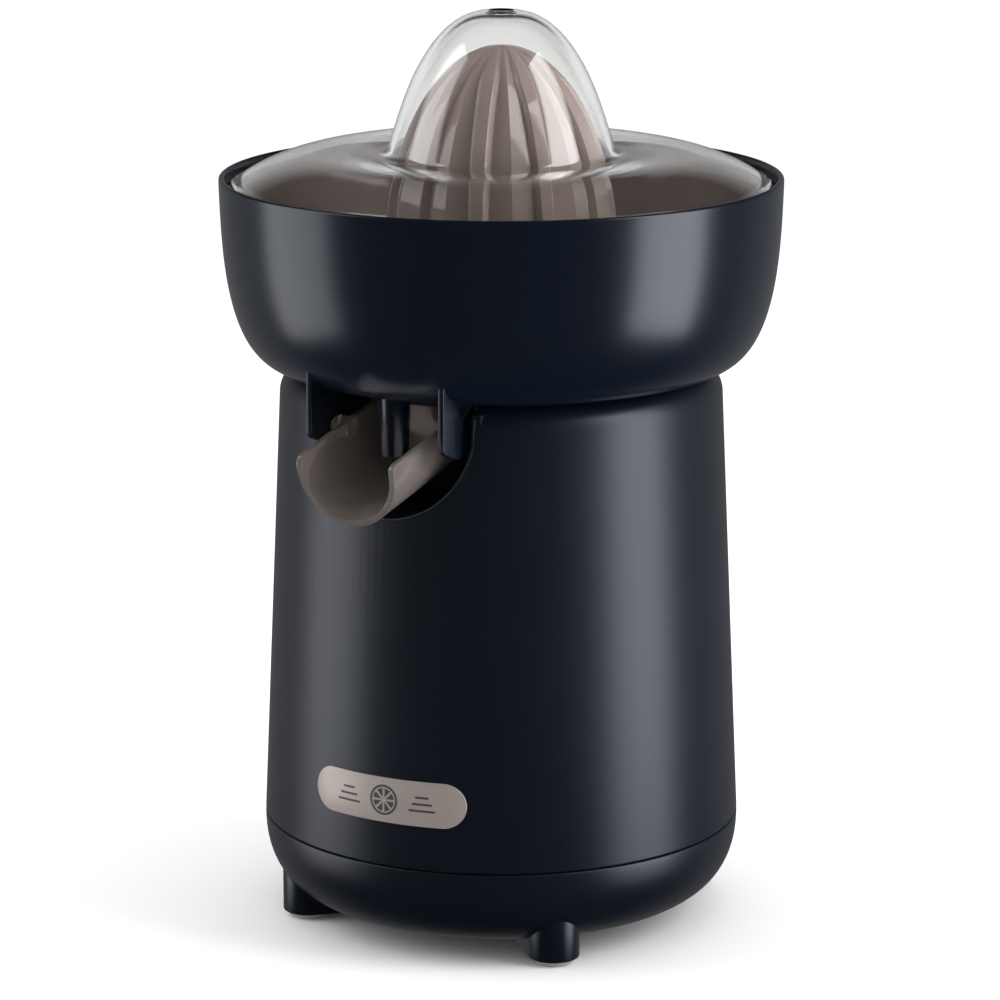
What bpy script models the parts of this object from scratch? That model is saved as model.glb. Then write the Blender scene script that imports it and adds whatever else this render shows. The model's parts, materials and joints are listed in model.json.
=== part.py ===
"""Electric citrus press: a turned bowl with a tilting spout on a tapered motor housing.

Lengths are in millimetres and become metres in the helpers. The origin is on the table,
on the axis of the bowl. +Z is up, and the spout and the badge face -Y.
"""
import math

import bmesh
import bpy
from mathutils import Matrix, Vector

MM = 0.001
GAP = 0.3                      # left between neighbouring pieces

# Overall sizes
RIM_RADIUS = 92.5
RIM_HEIGHT = 248.5
SHOULDER_HEIGHT = 185.7        # flat top of the housing, which carries the bowl
SHOULDER_RADIUS = 73.3
SHOULDER_FILLET = 9.0
SEAM_HEIGHT = 34.0             # joint between the housing and the base pan
SEAM_RADIUS = 79.6
WALL = 2.5

# Bowl
BOWL_WALL = 2.0
BOWL_DRAFT = 0.035             # lost radius per unit of depth
BOWL_FULLNESS = 2.7            # exponent of the side's rounded outline
BOWL_FLAT_RADIUS = 66.0
CHIMNEY_BORE = 10.3
CHIMNEY_RISE = 19.0            # above the bowl's underside
SEAL_HEIGHT = 3.0
OUTLET_OFFSET = 67.0
OUTLET_RADIUS = 4.5
OUTLET_BORE = 3.2
OUTLET_DROP = 18.7             # below the bowl's underside

# Strainer, cone and lid
STRAINER_WALL = 2.0
STRAINER_RIM_DROP = 4.4        # below the bowl's rim
STRAINER_DEPTH = 44.0
STRAINER_SLOTS = 16
STRAINER_BASIN = 62.0          # radius of the flat floor
STRAINER_CURVE = 20.0          # height of the curve between the floor and the side
CONE_RADIUS = 38.3
CONE_HEIGHT = 68.5
CONE_BASE_DROP = 26.0          # below the bowl's rim
CONE_RIBS = 10
CONE_RIB_WIDTH = 4.4
CONE_GROOVE = 2.6
LID_RADIUS = 88.6
LID_WALL = 2.0
LID_EDGE_DROP = 2.0
LID_NECK_RISE = 7.0            # of the skirt's inner end above the bowl's rim
LID_NECK_DROP = 8.2            # from the hood's base to the bottom of the neck
LID_NECK_WIDTH = 5.5
LID_SAG = 4.8                  # of the skirt's arch
HOOD_RADIUS = 34.6
HOOD_BASE_RISE = 17.0          # above the bowl's rim
HOOD_TOP_RISE = 54.0
HOOD_FULLNESS = 2.9            # exponent of the hood's rounded outline
HOOD_DRAFT = 0.324             # lost radius per unit of height

# Spout and its notch
SPOUT_RADIUS = 18.0
SPOUT_SIDE_RISE = 4.0          # the trough's sides go this far above its centre
SPOUT_WALL = 1.8
SPOUT_LENGTH = 48.8
LIP_CORNER = 7.0               # rounding of the lip's two upper corners
SPOUT_TILT = 12.0              # degrees, down towards the lip
SPOUT_PIVOT = (0.0, -66.0, 174.5)
SPOUT_EDGE_OVER_PIVOT = 3.3
SPOUT_BACK = 17.0              # from the pivot to the closed back end
PIVOT_PIN_RADIUS = 2.0
CHEEK_THICKNESS = 2.0
CHEEK_GAP = 5.5                # between the trough and each cheek
CHEEK_FRONT = 13.5             # ahead of the pivot
CHEEK_BACK = 6.0
CHEEK_SEAT = 1.2               # depth of the blind seat for a pivot pin
CHEEK_DROP = 5.6               # below the pivot
CHEEK_RISE = 11.0              # of the front edge above the bowl's underside
NOTCH_RADIUS = 28.4
NOTCH_BOTTOM = 148.0
NOTCH_BACK = 37.0              # how close the pocket comes to the axis

# Base
PAN_BOTTOM = 6.0
PAN_FLAT_RADIUS = 55.0
PAN_FULLNESS = 2.35
FOOT_CIRCLE = 67.0
FOOT_RADIUS = 8.5
FOOT_REACH = 25.0              # length of a foot towards the axis
FOOT_BOTTOM = 1.8
PAD_RADIUS = 6.5
PAD_SEAT = 1.2
BADGE_LENGTH = 58.0
BADGE_WIDTH = 15.2
BADGE_HEIGHT = 56.2
BADGE_PLATE = 1.0
BADGE_PROUD = 0.4
BADGE_TURN = 1.6               # degrees round the axis, towards +X
GLAND_HEIGHT = 52.0
GLAND_RADIUS = 6.0

# Drive
HUB_RADIUS = 9.5
HUB_RISE = 8.5                 # above the shoulder
BUSH_RADIUS = 7.2
SHAFT_RADIUS = 5.0
HEX_RADIUS = 4.6               # across corners
SHAFT_FIT = 0.3
SHAFT_BOTTOM = 97.0
PLATE_BOTTOM = 100.0
PLATE_THICKNESS = 3.0
COVER_BOTTOM = 124.0
PLATE_RADIUS = 66.0
COLLAR_BOTTOM = 142.0
COLLAR_RADIUS = 12.5
SPRING_RADIUS = 6.3
SPRING_WIRE = 0.7
SPRING_TURNS = 5
FIRST_MODULE = 0.8
PINION_TEETH = 12
IDLER_TEETH = 48
SECOND_MODULE = 1.0
IDLER_PINION_TEETH = 10
OUTPUT_TEETH = 50
IDLER_DIRECTION = 45.0         # degrees round the bowl's axis
PRESSURE_ANGLE = 25.0
BACKLASH = 0.16                # thinning of each tooth
PIN_RADIUS = 2.0

# Motor
STACK_BOTTOM = 56.0
STACK_HEIGHT = 24.0
ROTOR_RADIUS = 15.4
ROTOR_BORE = 16.0
MOTOR_SHAFT_RADIUS = 2.5
MOTOR_SHAFT_TOP_RADIUS = 2.0
STACK_HALF_WIDTH = 28.0
STACK_BACK = 24.0              # behind the motor's axis
STACK_FRONT = 39.4
COIL_LEG = 8.0
COIL_MARGIN = 7.0
MOTOR_SCREW_X = 23.0
MOTOR_SCREW_Y = 17.6

GEAR_POSTS = [(58.0, -6.0), (-58.0, -6.0), (40.0, 46.0), (-40.0, 46.0)]
BASE_SCREW_CIRCLE = 62.0
BOSS_RISE = 14.0               # of the housing's screw bosses above the seam
BASE_SCREW_START = 20.0        # degrees round the axis to the first one
RING_STEPS = 36
SMALL_STEPS = 16
FINE_SIDES = 12                # of bores and pins
SCREW_SIDES = 8

# Spindle in the bowl's chimney
SPINDLE_STEM = 7.5
SPINDLE_CAP = 17.0             # radius of the drip cap
DRIVE_POST = 9.0               # radius across the corners of the six-sided post
POST_RISE = 27.0               # of the post above the cap

BOWL_BOTTOM = SHOULDER_HEIGHT + GAP
BUSH_SEAT = SHOULDER_HEIGHT - 14.0
SPINDLE_LOW = SHOULDER_HEIGHT + HUB_RISE + 3.9
CAP_LOW = BOWL_BOTTOM + CHIMNEY_RISE + 3.4
CAP_TOP = CAP_LOW + 2.6
POST_TOP = CAP_TOP + POST_RISE
HEX_TOP = CAP_TOP
IDLER_DISTANCE = SECOND_MODULE * (IDLER_PINION_TEETH + OUTPUT_TEETH) / 2
IDLER_X = IDLER_DISTANCE * math.cos(math.radians(IDLER_DIRECTION))
IDLER_Y = IDLER_DISTANCE * math.sin(math.radians(IDLER_DIRECTION))
MOTOR_DISTANCE = FIRST_MODULE * (PINION_TEETH + IDLER_TEETH) / 2
MOTOR_Y = IDLER_Y + math.sqrt(MOTOR_DISTANCE ** 2 - IDLER_X ** 2)
WALL_SLOPE = (SEAM_RADIUS - SHOULDER_RADIUS) / (SHOULDER_HEIGHT - SHOULDER_FILLET - SEAM_HEIGHT)


def side_radius(height):
    """Outer radius of the tapered housing at a height."""
    return SEAM_RADIUS - WALL_SLOPE * (height - SEAM_HEIGHT)


def arc(centre, radii, start, end, count):
    """Points of an elliptical arc in the (radius, height) plane, angles in degrees."""
    points = []
    for index in range(count + 1):
        angle = math.radians(start + (end - start) * index / count)
        points.append((centre[0] + radii[0] * math.cos(angle), centre[1] + radii[1] * math.sin(angle)))
    return points


def circle(radius, centre=(0.0, 0.0), count=SMALL_STEPS, phase=0.0):
    """Points of a circle in a flat outline."""
    turn = [phase + 2 * math.pi * index / count for index in range(count)]
    return [(centre[0] + radius * math.cos(a), centre[1] + radius * math.sin(a)) for a in turn]


def rectangle(low, high):
    """Corners of an upright rectangle in a flat outline."""
    return [(low[0], low[1]), (high[0], low[1]), (high[0], high[1]), (low[0], high[1])]


# ---- Scene helpers -------------------------------------------------------------------------

for old in list(bpy.data.objects):
    bpy.data.objects.remove(old)
parts = bpy.data.collections.new("citrus_press_juicer")
cutters = bpy.data.collections.new("cutters")
bpy.context.scene.collection.children.link(parts)
bpy.context.scene.collection.children.link(cutters)


def material(name, colour, roughness, metallic=0.0, alpha=1.0):
    """A Principled material of one colour."""
    made = bpy.data.materials.new(name)
    made.use_nodes = True
    shader = made.node_tree.nodes["Principled BSDF"]
    shader.inputs["Base Color"].default_value = (*colour, 1.0)
    shader.inputs["Roughness"].default_value = roughness
    shader.inputs["Metallic"].default_value = metallic
    shader.inputs["Alpha"].default_value = alpha
    made.diffuse_color = (*colour, alpha)
    return made


NAVY = material("navy_abs", (0.012, 0.016, 0.028), 0.35)
SMOKE = material("smoked_san", (0.17, 0.14, 0.13), 0.15)
CLEAR = material("clear_san", (0.92, 0.94, 0.94), 0.05, alpha=0.35)
PALE = material("badge_metal", (0.50, 0.44, 0.41), 0.35, metallic=0.8)
RUBBER = material("grey_rubber", (0.45, 0.45, 0.46), 0.7)
BLACK = material("black_nylon", (0.03, 0.03, 0.03), 0.5)
WHITE = material("white_acetal", (0.80, 0.79, 0.75), 0.4)
STEEL = material("turned_steel", (0.55, 0.56, 0.58), 0.3, metallic=1.0)
IRON = material("stamped_steel", (0.35, 0.36, 0.38), 0.45, metallic=1.0)
COPPER = material("enamelled_copper", (0.55, 0.22, 0.08), 0.35, metallic=1.0)
BRONZE = material("sintered_bronze", (0.45, 0.30, 0.14), 0.5, metallic=1.0)


def add(name, mesh, look, place=(0.0, 0.0, 0.0)):
    """Put a mesh into the parts, or into the cutters when it has no look."""
    made = bpy.data.objects.new(name, mesh)
    made.location = Vector(place) * MM
    if look is None:
        cutters.objects.link(made)
        made.hide_render = True
        made.display_type = "WIRE"
    else:
        parts.objects.link(made)
        mesh.materials.append(look)
        for face in mesh.polygons:
            face.use_smooth = True
        mesh.set_sharp_from_angle(angle=math.radians(30))
    return made


def mesh_from(bm, name):
    """Turn a bmesh into a mesh with its faces pointing out."""
    bmesh.ops.recalc_face_normals(bm, faces=bm.faces)
    mesh = bpy.data.meshes.new(name)
    bm.to_mesh(mesh)
    bm.free()
    return mesh


def turned(name, profile, look, steps=RING_STEPS, closed=True, place=(0.0, 0.0, 0.0)):
    """Screw a profile of (radius, height) points, outer side first and downwards."""
    mesh = bpy.data.meshes.new(name)
    points = [(radius * MM, 0.0, height * MM) for radius, height in profile]
    edges = [(index, index + 1) for index in range(len(points) - 1)]
    if closed:
        edges.append((len(points) - 1, 0))
    mesh.from_pydata(points, edges, [])
    made = add(name, mesh, look, place)
    screw = made.modifiers.new("turn", "SCREW")
    screw.steps = steps
    screw.render_steps = steps
    screw.use_merge_vertices = True
    screw.merge_threshold = 0.00001
    screw.use_smooth_shade = True
    return made


def plate(name, outlines, low, high, look, place=(0.0, 0.0, 0.0)):
    """Extrude a flat outline, with any holes, from one height to another."""
    bm = bmesh.new()
    for outline in outlines:
        corners = [bm.verts.new((x * MM, y * MM, low * MM)) for x, y in outline]
        for index, corner in enumerate(corners):
            bm.edges.new((corners[index - 1], corner))
    bmesh.ops.triangle_fill(bm, edges=bm.edges[:], use_beauty=True)
    grown = bmesh.ops.extrude_face_region(bm, geom=bm.faces[:])
    raised = [item for item in grown["geom"] if isinstance(item, bmesh.types.BMVert)]
    bmesh.ops.translate(bm, verts=raised, vec=(0.0, 0.0, (high - low) * MM))
    return add(name, mesh_from(bm, name), look, place)


def rod(name, radius, low, high, look, place=(0.0, 0.0), sides=SMALL_STEPS):
    """An upright cylinder."""
    bm = bmesh.new()
    centre = Matrix.Translation((0.0, 0.0, (low + high) / 2 * MM))
    bmesh.ops.create_cone(bm, cap_ends=True, segments=sides, radius1=radius * MM,
                          radius2=radius * MM, depth=(high - low) * MM, matrix=centre)
    return add(name, mesh_from(bm, name), look, (*place, 0.0))


def block(name, low, high, look):
    """A box between two corners."""
    size = [(b - a) * MM for a, b in zip(low, high)]
    centre = [(a + b) / 2 * MM for a, b in zip(low, high)]
    bm = bmesh.new()
    bmesh.ops.create_cube(bm, size=1.0, matrix=Matrix.Translation(centre) @ Matrix.Diagonal((*size, 1.0)))
    return add(name, mesh_from(bm, name), look)


def apply(target, tool, operation):
    """Cut, join or intersect a piece with a tool, which goes to the cutters."""
    if tool.name not in cutters.objects:
        parts.objects.unlink(tool)
        cutters.objects.link(tool)
        tool.hide_render = True
        tool.display_type = "WIRE"
    change = target.modifiers.new(tool.name, "BOOLEAN")
    change.operation = operation
    change.solver = "EXACT"
    change.object = tool


def cut(target, *tools):
    for tool in tools:
        apply(target, tool, "DIFFERENCE")


def fuse(target, *tools):
    for tool in tools:
        apply(target, tool, "UNION")


def lie_along_y(tool):
    """Turn an upright tool so that what pointed up points to the front."""
    tool.rotation_euler = (math.radians(90), 0.0, 0.0)
    return tool


# ---- Housing -------------------------------------------------------------------------------

def notch_outline(radius, bottom):
    """The U of the spout's pocket, as x and height, open above the shoulder."""
    centre = (0.0, bottom + radius)
    top = SHOULDER_HEIGHT + HUB_RISE * 2
    return [(radius, top), *arc(centre, (radius, radius), 0, -180, 20), (-radius, top)]


def make_housing():
    """The tapered body with its shoulder, hub, front pocket and inner posts."""
    shoulder = (SHOULDER_RADIUS - SHOULDER_FILLET, SHOULDER_HEIGHT - SHOULDER_FILLET)
    low = SEAM_HEIGHT + GAP / 2
    hub_top = SHOULDER_HEIGHT + HUB_RISE
    bore = BUSH_RADIUS + GAP
    outer = [(0.0, hub_top), (HUB_RADIUS, hub_top), (HUB_RADIUS, SHOULDER_HEIGHT),
             *reversed(arc(shoulder, (SHOULDER_FILLET, SHOULDER_FILLET), 0, 90, 4)),
             (side_radius(low), low), (0.0, low)]
    housing = turned("housing", outer, NAVY, closed=False)

    ceiling = SHOULDER_HEIGHT - WALL
    inner_fillet = SHOULDER_FILLET - WALL
    corner = (shoulder[0], ceiling - inner_fillet)
    void_profile = [(0.0, hub_top + 5), (bore, hub_top + 5), (bore, BUSH_SEAT + 8.0),
                    (HUB_RADIUS, BUSH_SEAT + 8.0), (HUB_RADIUS, ceiling),
                    *reversed(arc(corner, (inner_fillet, inner_fillet), 0, 90, 3)),
                    (side_radius(low) - WALL, low), (side_radius(low) - WALL, low - 5), (0.0, low - 5)]
    void = turned("housing_void", void_profile, None, closed=False)
    pocket_wall = lie_along_y(plate("pocket_wall", [notch_outline(NOTCH_RADIUS + WALL, NOTCH_BOTTOM - WALL)],
                                    NOTCH_BACK - WALL, SEAM_RADIUS + 10, None))
    cut(void, pocket_wall)
    post_low = COVER_BOTTOM + PLATE_THICKNESS + GAP
    for index, (x, y) in enumerate(GEAR_POSTS):
        cut(void, rod(f"gear_post_{index}", 4.5, post_low, SHOULDER_HEIGHT - 1, None, (x, y), 12))
    for index in range(4):
        boss = rod(f"base_boss_{index}", 4.5, low - 6, SEAM_HEIGHT + BOSS_RISE, None, sides=12)
        boss.location = base_screw_place(index)
        rib = block(f"base_rib_{index}", (BASE_SCREW_CIRCLE, -1.5, low - 6.5),
                    (SEAM_RADIUS - 1, 1.5, SEAM_HEIGHT + BOSS_RISE - 1), None)
        rib.rotation_euler = (0.0, 0.0, math.radians(BASE_SCREW_START + 90 * index))
        cut(void, boss, rib)
    cut(housing, void)
    cut(housing, lie_along_y(plate("pocket", [notch_outline(NOTCH_RADIUS, NOTCH_BOTTOM)],
                                   NOTCH_BACK, SEAM_RADIUS + 20, None)))
    for index, (x, y) in enumerate(GEAR_POSTS):
        cut(housing, rod(f"gear_hole_{index}", 1.8, post_low - 1, post_low + 14, None, (x, y), 8))
    for index in range(4):
        hole = rod(f"base_hole_{index}", 1.8, low - 1, SEAM_HEIGHT + BOSS_RISE - 2, None, sides=8)
        hole.location = base_screw_place(index)
        cut(housing, hole)
    cut(housing, badge_recess())
    gland_hole = lie_along_y(rod("gland_hole", GLAND_RADIUS, -SEAM_RADIUS - 5, -SEAM_RADIUS + 8, None))
    gland_hole.location = (0.0, 0.0, GLAND_HEIGHT * MM)
    cut(housing, gland_hole)


def base_screw_place(index):
    """Place of a base screw's axis, in metres."""
    angle = math.radians(BASE_SCREW_START + 90 * index)
    return Vector((math.cos(angle), math.sin(angle), 0.0)) * BASE_SCREW_CIRCLE * MM


# ---- Badge ---------------------------------------------------------------------------------

def pill(length, width):
    """Outline of a bar with round ends."""
    radius = width / 2
    reach = length / 2 - radius
    return [*arc((reach, 0.0), (radius, radius), -90, 90, 8), *arc((-reach, 0.0), (radius, radius), 90, 270, 8)]


def cone_frustum(name, offset, look=None):
    """The housing's own tapered surface near the badge, moved out by an offset."""
    low = BADGE_HEIGHT - BADGE_WIDTH
    high = BADGE_HEIGHT + BADGE_WIDTH
    return turned(name, [(0.0, high), (side_radius(high) + offset, high),
                         (side_radius(low) + offset, low), (0.0, low)], look, closed=False)


def pill_prism(name, grow, look=None):
    """The badge's outline as a bar that runs through the front wall."""
    prism = lie_along_y(plate(name, [pill(BADGE_LENGTH + 2 * grow, BADGE_WIDTH + 2 * grow)],
                              SEAM_RADIUS * 0.6, SEAM_RADIUS + 10, look))
    prism.rotation_euler.z = math.radians(BADGE_TURN)
    prism.location = (0.0, 0.0, BADGE_HEIGHT * MM)
    return prism


def badge_recess():
    """The shallow seat that the badge lies in."""
    seat = pill_prism("badge_seat", GAP)
    cut(seat, cone_frustum("badge_seat_floor", BADGE_PROUD - BADGE_PLATE - GAP))
    return seat


def make_badge():
    """A curved metal plate with round ends, without any lettering."""
    badge = pill_prism("badge", 0.0, PALE)
    apply(badge, cone_frustum("badge_face", BADGE_PROUD), "INTERSECT")
    cut(badge, cone_frustum("badge_back", BADGE_PROUD - BADGE_PLATE))


# ---- Base pan and feet ---------------------------------------------------------------------

def pan_profile(inset, top):
    """The pan's rounded side as (radius, height), from the seam down to the flat bottom."""
    reach = SEAM_RADIUS - PAN_FLAT_RADIUS - inset
    drop = SEAM_HEIGHT - PAN_BOTTOM - inset
    points = []
    for index in range(7):
        angle = math.radians(90 * index / 6)
        across = max(math.cos(angle), 0.0) ** (2 / PAN_FULLNESS)
        down = math.sin(angle) ** (2 / PAN_FULLNESS)
        points.append((PAN_FLAT_RADIUS + reach * across, SEAM_HEIGHT - GAP / 2 - (drop - GAP / 2) * down))
    return [(0.0, top), (points[0][0], top), *points[1:], (0.0, points[-1][1])]


def foot_place(index):
    """Direction of a foot, in degrees round the axis from +X."""
    return 45 + 90 * index


def make_base():
    """The pan below the seam, its four posts, screw towers, vents and rubber pads."""
    top = SEAM_HEIGHT - GAP / 2
    pan = turned("base_pan", pan_profile(0.0, top), NAVY, closed=False)
    reach = FOOT_CIRCLE - FOOT_REACH
    slot = [*arc((FOOT_CIRCLE, 0.0), (FOOT_RADIUS, FOOT_RADIUS), -90, 90, 8),
            *arc((reach, 0.0), (FOOT_RADIUS, FOOT_RADIUS), 90, 270, 8)]
    for index in range(4):
        post = plate(f"post_{index}", [slot], FOOT_BOTTOM, PAN_BOTTOM + 11, None)
        post.rotation_euler = (0.0, 0.0, math.radians(foot_place(index)))
        fuse(pan, post)
    void = turned("pan_void", pan_profile(WALL, top + 1), None, closed=False)
    for index in range(4):
        tower = rod(f"tower_{index}", 6.5, PAN_BOTTOM + 1, SEAM_HEIGHT - 7, None, sides=12)
        tower.location = base_screw_place(index)
        cut(void, tower)
    cut(pan, void)
    for index in range(4):
        well = rod(f"screw_well_{index}", 4.0, -1, SEAM_HEIGHT - 10, None, sides=12)
        hole = rod(f"screw_way_{index}", 1.8, SEAM_HEIGHT - 11, SEAM_HEIGHT - 5, None, sides=8)
        well.location = base_screw_place(index)
        hole.location = base_screw_place(index)
        cut(pan, well, hole)
    for index in range(4):
        seat = rod(f"pad_seat_{index}", PAD_RADIUS + GAP, FOOT_BOTTOM - 1, FOOT_BOTTOM + PAD_SEAT, None)
        angle = math.radians(foot_place(index))
        place = (FOOT_CIRCLE * math.cos(angle), FOOT_CIRCLE * math.sin(angle))
        seat.location = (place[0] * MM, place[1] * MM, 0.0)
        cut(pan, seat)
        rod(f"foot_pad_{index + 1}", PAD_RADIUS, 0.0, FOOT_BOTTOM + PAD_SEAT - GAP, RUBBER, place, 16)
    for index in range(6):
        vent = block(f"vent_{index}", (12.0, -1.5, PAN_BOTTOM - 1), (32.0, 1.5, PAN_BOTTOM + WALL + 1), None)
        vent.rotation_euler = (0.0, 0.0, math.radians(60 * index + 30))
        cut(pan, vent)
    for index in range(4):
        profile = screw_profile(SEAM_HEIGHT - 10 - GAP, SEAM_HEIGHT + BOSS_RISE - 5)
        screw = turned(f"base_screw_{index + 1}", profile, STEEL, SCREW_SIDES, closed=False)
        screw.location = base_screw_place(index)


def screw_profile(seat, tip, head=3.2, shank=1.5, thickness=2.2):
    """A pan-head screw that points up, its head under the seat."""
    return [(0.0, tip), (shank * 0.5, tip), (shank, tip - 1.5), (shank, seat), (head, seat),
            (head, seat - thickness * 0.5), (head * 0.6, seat - thickness), (0.0, seat - thickness)]


def make_gland():
    """A rubber ring with two flanges in the rear wall, where a cord would come out."""
    lip = GLAND_RADIUS + 1.6
    face = SEAM_RADIUS - WALL_SLOPE * (GLAND_HEIGHT - SEAM_HEIGHT)
    back = -face - 0.8
    front = -face + WALL + 1.2
    neck = GLAND_RADIUS - GAP
    ring = [(lip, back - 1.2), (lip, back), (neck, back), (neck, front), (lip, front), (lip, front + 1.2),
            (3.2, front + 1.2), (3.2, back - 1.2)]
    gland = lie_along_y(turned("cord_gland", list(reversed(ring)), BLACK, 16))
    gland.location = (0.0, 0.0, GLAND_HEIGHT * MM)


# ---- Bowl ----------------------------------------------------------------------------------

def bowl_outline():
    """The bowl's outer side as (radius, height), from the rim down to its flat underside."""
    points = []
    for index in range(9):
        angle = math.radians(90 * index / 8)
        across = max(math.cos(angle), 0.0) ** (2 / BOWL_FULLNESS)
        drop = (RIM_HEIGHT - BOWL_BOTTOM) * math.sin(angle) ** (2 / BOWL_FULLNESS)
        reach = RIM_RADIUS - BOWL_FLAT_RADIUS - BOWL_DRAFT * drop
        points.append((BOWL_FLAT_RADIUS + reach * across, RIM_HEIGHT - drop))
    return points


def make_bowl():
    """The juice bowl: turned shell, centre chimney, outlet tube and two cheeks for the spout."""
    outer = bowl_outline()
    floor = BOWL_BOTTOM + BOWL_WALL
    inner = [(radius - BOWL_WALL, max(height, floor)) for radius, height in outer]
    inner[-1] = (BOWL_FLAT_RADIUS, floor)
    chimney_top = BOWL_BOTTOM + CHIMNEY_RISE
    ledge = chimney_top - SEAL_HEIGHT - 3.0
    chimney = [(CHIMNEY_BORE + 2.2, floor), (CHIMNEY_BORE + 2.2, chimney_top), (CHIMNEY_BORE, chimney_top),
               (CHIMNEY_BORE, ledge), (CHIMNEY_BORE - 1.7, ledge), (CHIMNEY_BORE - 1.7, ledge - 2),
               (CHIMNEY_BORE, ledge - 2), (CHIMNEY_BORE, BOWL_BOTTOM)]
    profile = [*outer, *reversed(chimney), *reversed(inner)]
    bowl = turned("juice_bowl", profile, NAVY)

    place = (0.0, -OUTLET_OFFSET)
    tube_low = BOWL_BOTTOM - OUTLET_DROP
    fuse(bowl, rod("outlet_tube", OUTLET_RADIUS, tube_low, BOWL_BOTTOM + BOWL_WALL / 2, None, place))
    near = SPOUT_RADIUS + CHEEK_GAP
    pivot_y, pivot_height = SPOUT_PIVOT[1:]
    outline = [(pivot_y - CHEEK_FRONT, BOWL_BOTTOM + CHEEK_RISE),
               (pivot_y - CHEEK_FRONT, pivot_height - CHEEK_DROP * 0.3),
               (pivot_y - CHEEK_FRONT * 0.3, pivot_height - CHEEK_DROP),
               (pivot_y + CHEEK_BACK, pivot_height - CHEEK_DROP * 0.6),
               (pivot_y + CHEEK_BACK, BOWL_BOTTOM + BOWL_WALL / 2)]
    for side in (-1, 1):
        ends = sorted((side * near, side * (near + CHEEK_THICKNESS)))
        cheek = plate(f"cheek_{side}", [outline], *ends, None)
        cheek.rotation_euler = (math.radians(90), 0.0, math.radians(90))
        fuse(bowl, cheek)
    cut(bowl, rod("outlet_bore", OUTLET_BORE, tube_low - 1, floor + 2, None, place, FINE_SIDES))
    for side in (-1, 1):
        ends = sorted((side * (near - 1), side * (near + CHEEK_SEAT)))
        seat = rod(f"pivot_seat_{side}", PIVOT_PIN_RADIUS + GAP, *ends, None, sides=FINE_SIDES)
        seat.rotation_euler = (0.0, math.radians(90), 0.0)
        seat.location = Vector(SPOUT_PIVOT) * MM
        cut(bowl, seat)

    seal_low = ledge + GAP
    ring = [(CHIMNEY_BORE - GAP, seal_low + SEAL_HEIGHT), (CHIMNEY_BORE - GAP, seal_low),
            (SPINDLE_STEM + GAP, seal_low), (SPINDLE_STEM + GAP, seal_low + SEAL_HEIGHT * 0.7)]
    turned("spindle_seal", ring, BLACK, 24)


# ---- Spindle, cone, strainer and lid ----------------------------------------------------------

def make_spindle():
    """The plastic spindle in the bowl's chimney: stem, drip cap and six-sided drive post."""
    skirt = SPINDLE_CAP - 2.0
    profile = [(0.0, CAP_TOP), (SPINDLE_CAP - 1.5, CAP_TOP), (SPINDLE_CAP, CAP_TOP - 1.5),
               (SPINDLE_CAP, CAP_LOW - 9), (skirt, CAP_LOW - 9), (skirt, CAP_LOW),
               (SPINDLE_STEM, CAP_LOW), (SPINDLE_STEM, SPINDLE_LOW), (0.0, SPINDLE_LOW)]
    spindle = turned("bowl_spindle", profile, WHITE, 24, closed=False)
    fuse(spindle, rod("drive_post", DRIVE_POST, CAP_TOP - 1, POST_TOP, None, sides=6))
    cut(spindle, rod("hex_socket", HEX_RADIUS + 0.4, SPINDLE_LOW - 1, HEX_TOP + 1.5, None, sides=6))


def cone_radius(height):
    """The cone's outer radius over its ribs at a height above its base."""
    share = min(height / CONE_HEIGHT, 1.0)
    return CONE_RADIUS * math.sqrt(1 - share ** 2)


def rib_section(radius, groove):
    """One level of the cone as angles and radii: flat-topped ribs and lower facets between."""
    points = []
    half = min(CONE_RIB_WIDTH / 2 / max(radius, 1.0), math.pi / CONE_RIBS * 0.35)
    for rib in range(CONE_RIBS):
        middle = 2 * math.pi * rib / CONE_RIBS
        foot = math.pi / CONE_RIBS * 0.62
        next_foot = 2 * math.pi / CONE_RIBS - foot
        for angle, drop in ((-half, 0.0), (half, 0.0), (foot, groove), (next_foot, groove)):
            points.append((middle + angle, radius - drop))
    return points


def make_cone():
    """The ribbed reamer, hollow below, with a boss that fits over the drive post."""
    base = RIM_HEIGHT - CONE_BASE_DROP
    levels = []
    for step in range(8):
        height = CONE_HEIGHT * math.sin(math.radians(84 * step / 7))
        radius = cone_radius(height)
        groove = CONE_GROOVE * min(1.0, radius / CONE_RADIUS * 1.4)
        levels.append((base + height, rib_section(radius, groove)))
    wall = CONE_GROOVE + 2.2
    hollow = []
    for step in range(5):
        height = (CONE_HEIGHT - 16) * math.sin(math.radians(60 * step / 4))
        hollow.append((cone_radius(height) - wall, base + height))
    boss = DRIVE_POST + 2.6
    hollow += [(boss, hollow[-1][1]), (boss, CAP_TOP + GAP)]
    bm = bmesh.new()
    loops = []
    for height, section in levels:
        corners = [(r * math.cos(a) * MM, r * math.sin(a) * MM, height * MM) for a, r in section]
        loops.append([bm.verts.new(corner) for corner in corners])
    tip = bm.verts.new((0.0, 0.0, (base + CONE_HEIGHT) * MM))
    under = [[bm.verts.new((radius * math.cos(a) * MM, radius * math.sin(a) * MM, height * MM))
              for a, _ in levels[0][1]] for radius, height in hollow]
    bm.faces.new(under[-1])
    chain = list(reversed(under)) + loops
    for lower, upper in zip(chain, chain[1:]):
        for index in range(len(lower)):
            bm.faces.new((lower[index - 1], lower[index], upper[index], upper[index - 1]))
    for index in range(len(loops[-1])):
        bm.faces.new((loops[-1][index - 1], loops[-1][index], tip))
    cone = add("reamer_cone", mesh_from(bm, "reamer_cone"), SMOKE)
    cut(cone, rod("post_socket", DRIVE_POST + 0.4, CAP_TOP - 1, POST_TOP + 0.6, None, sides=6))


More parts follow.
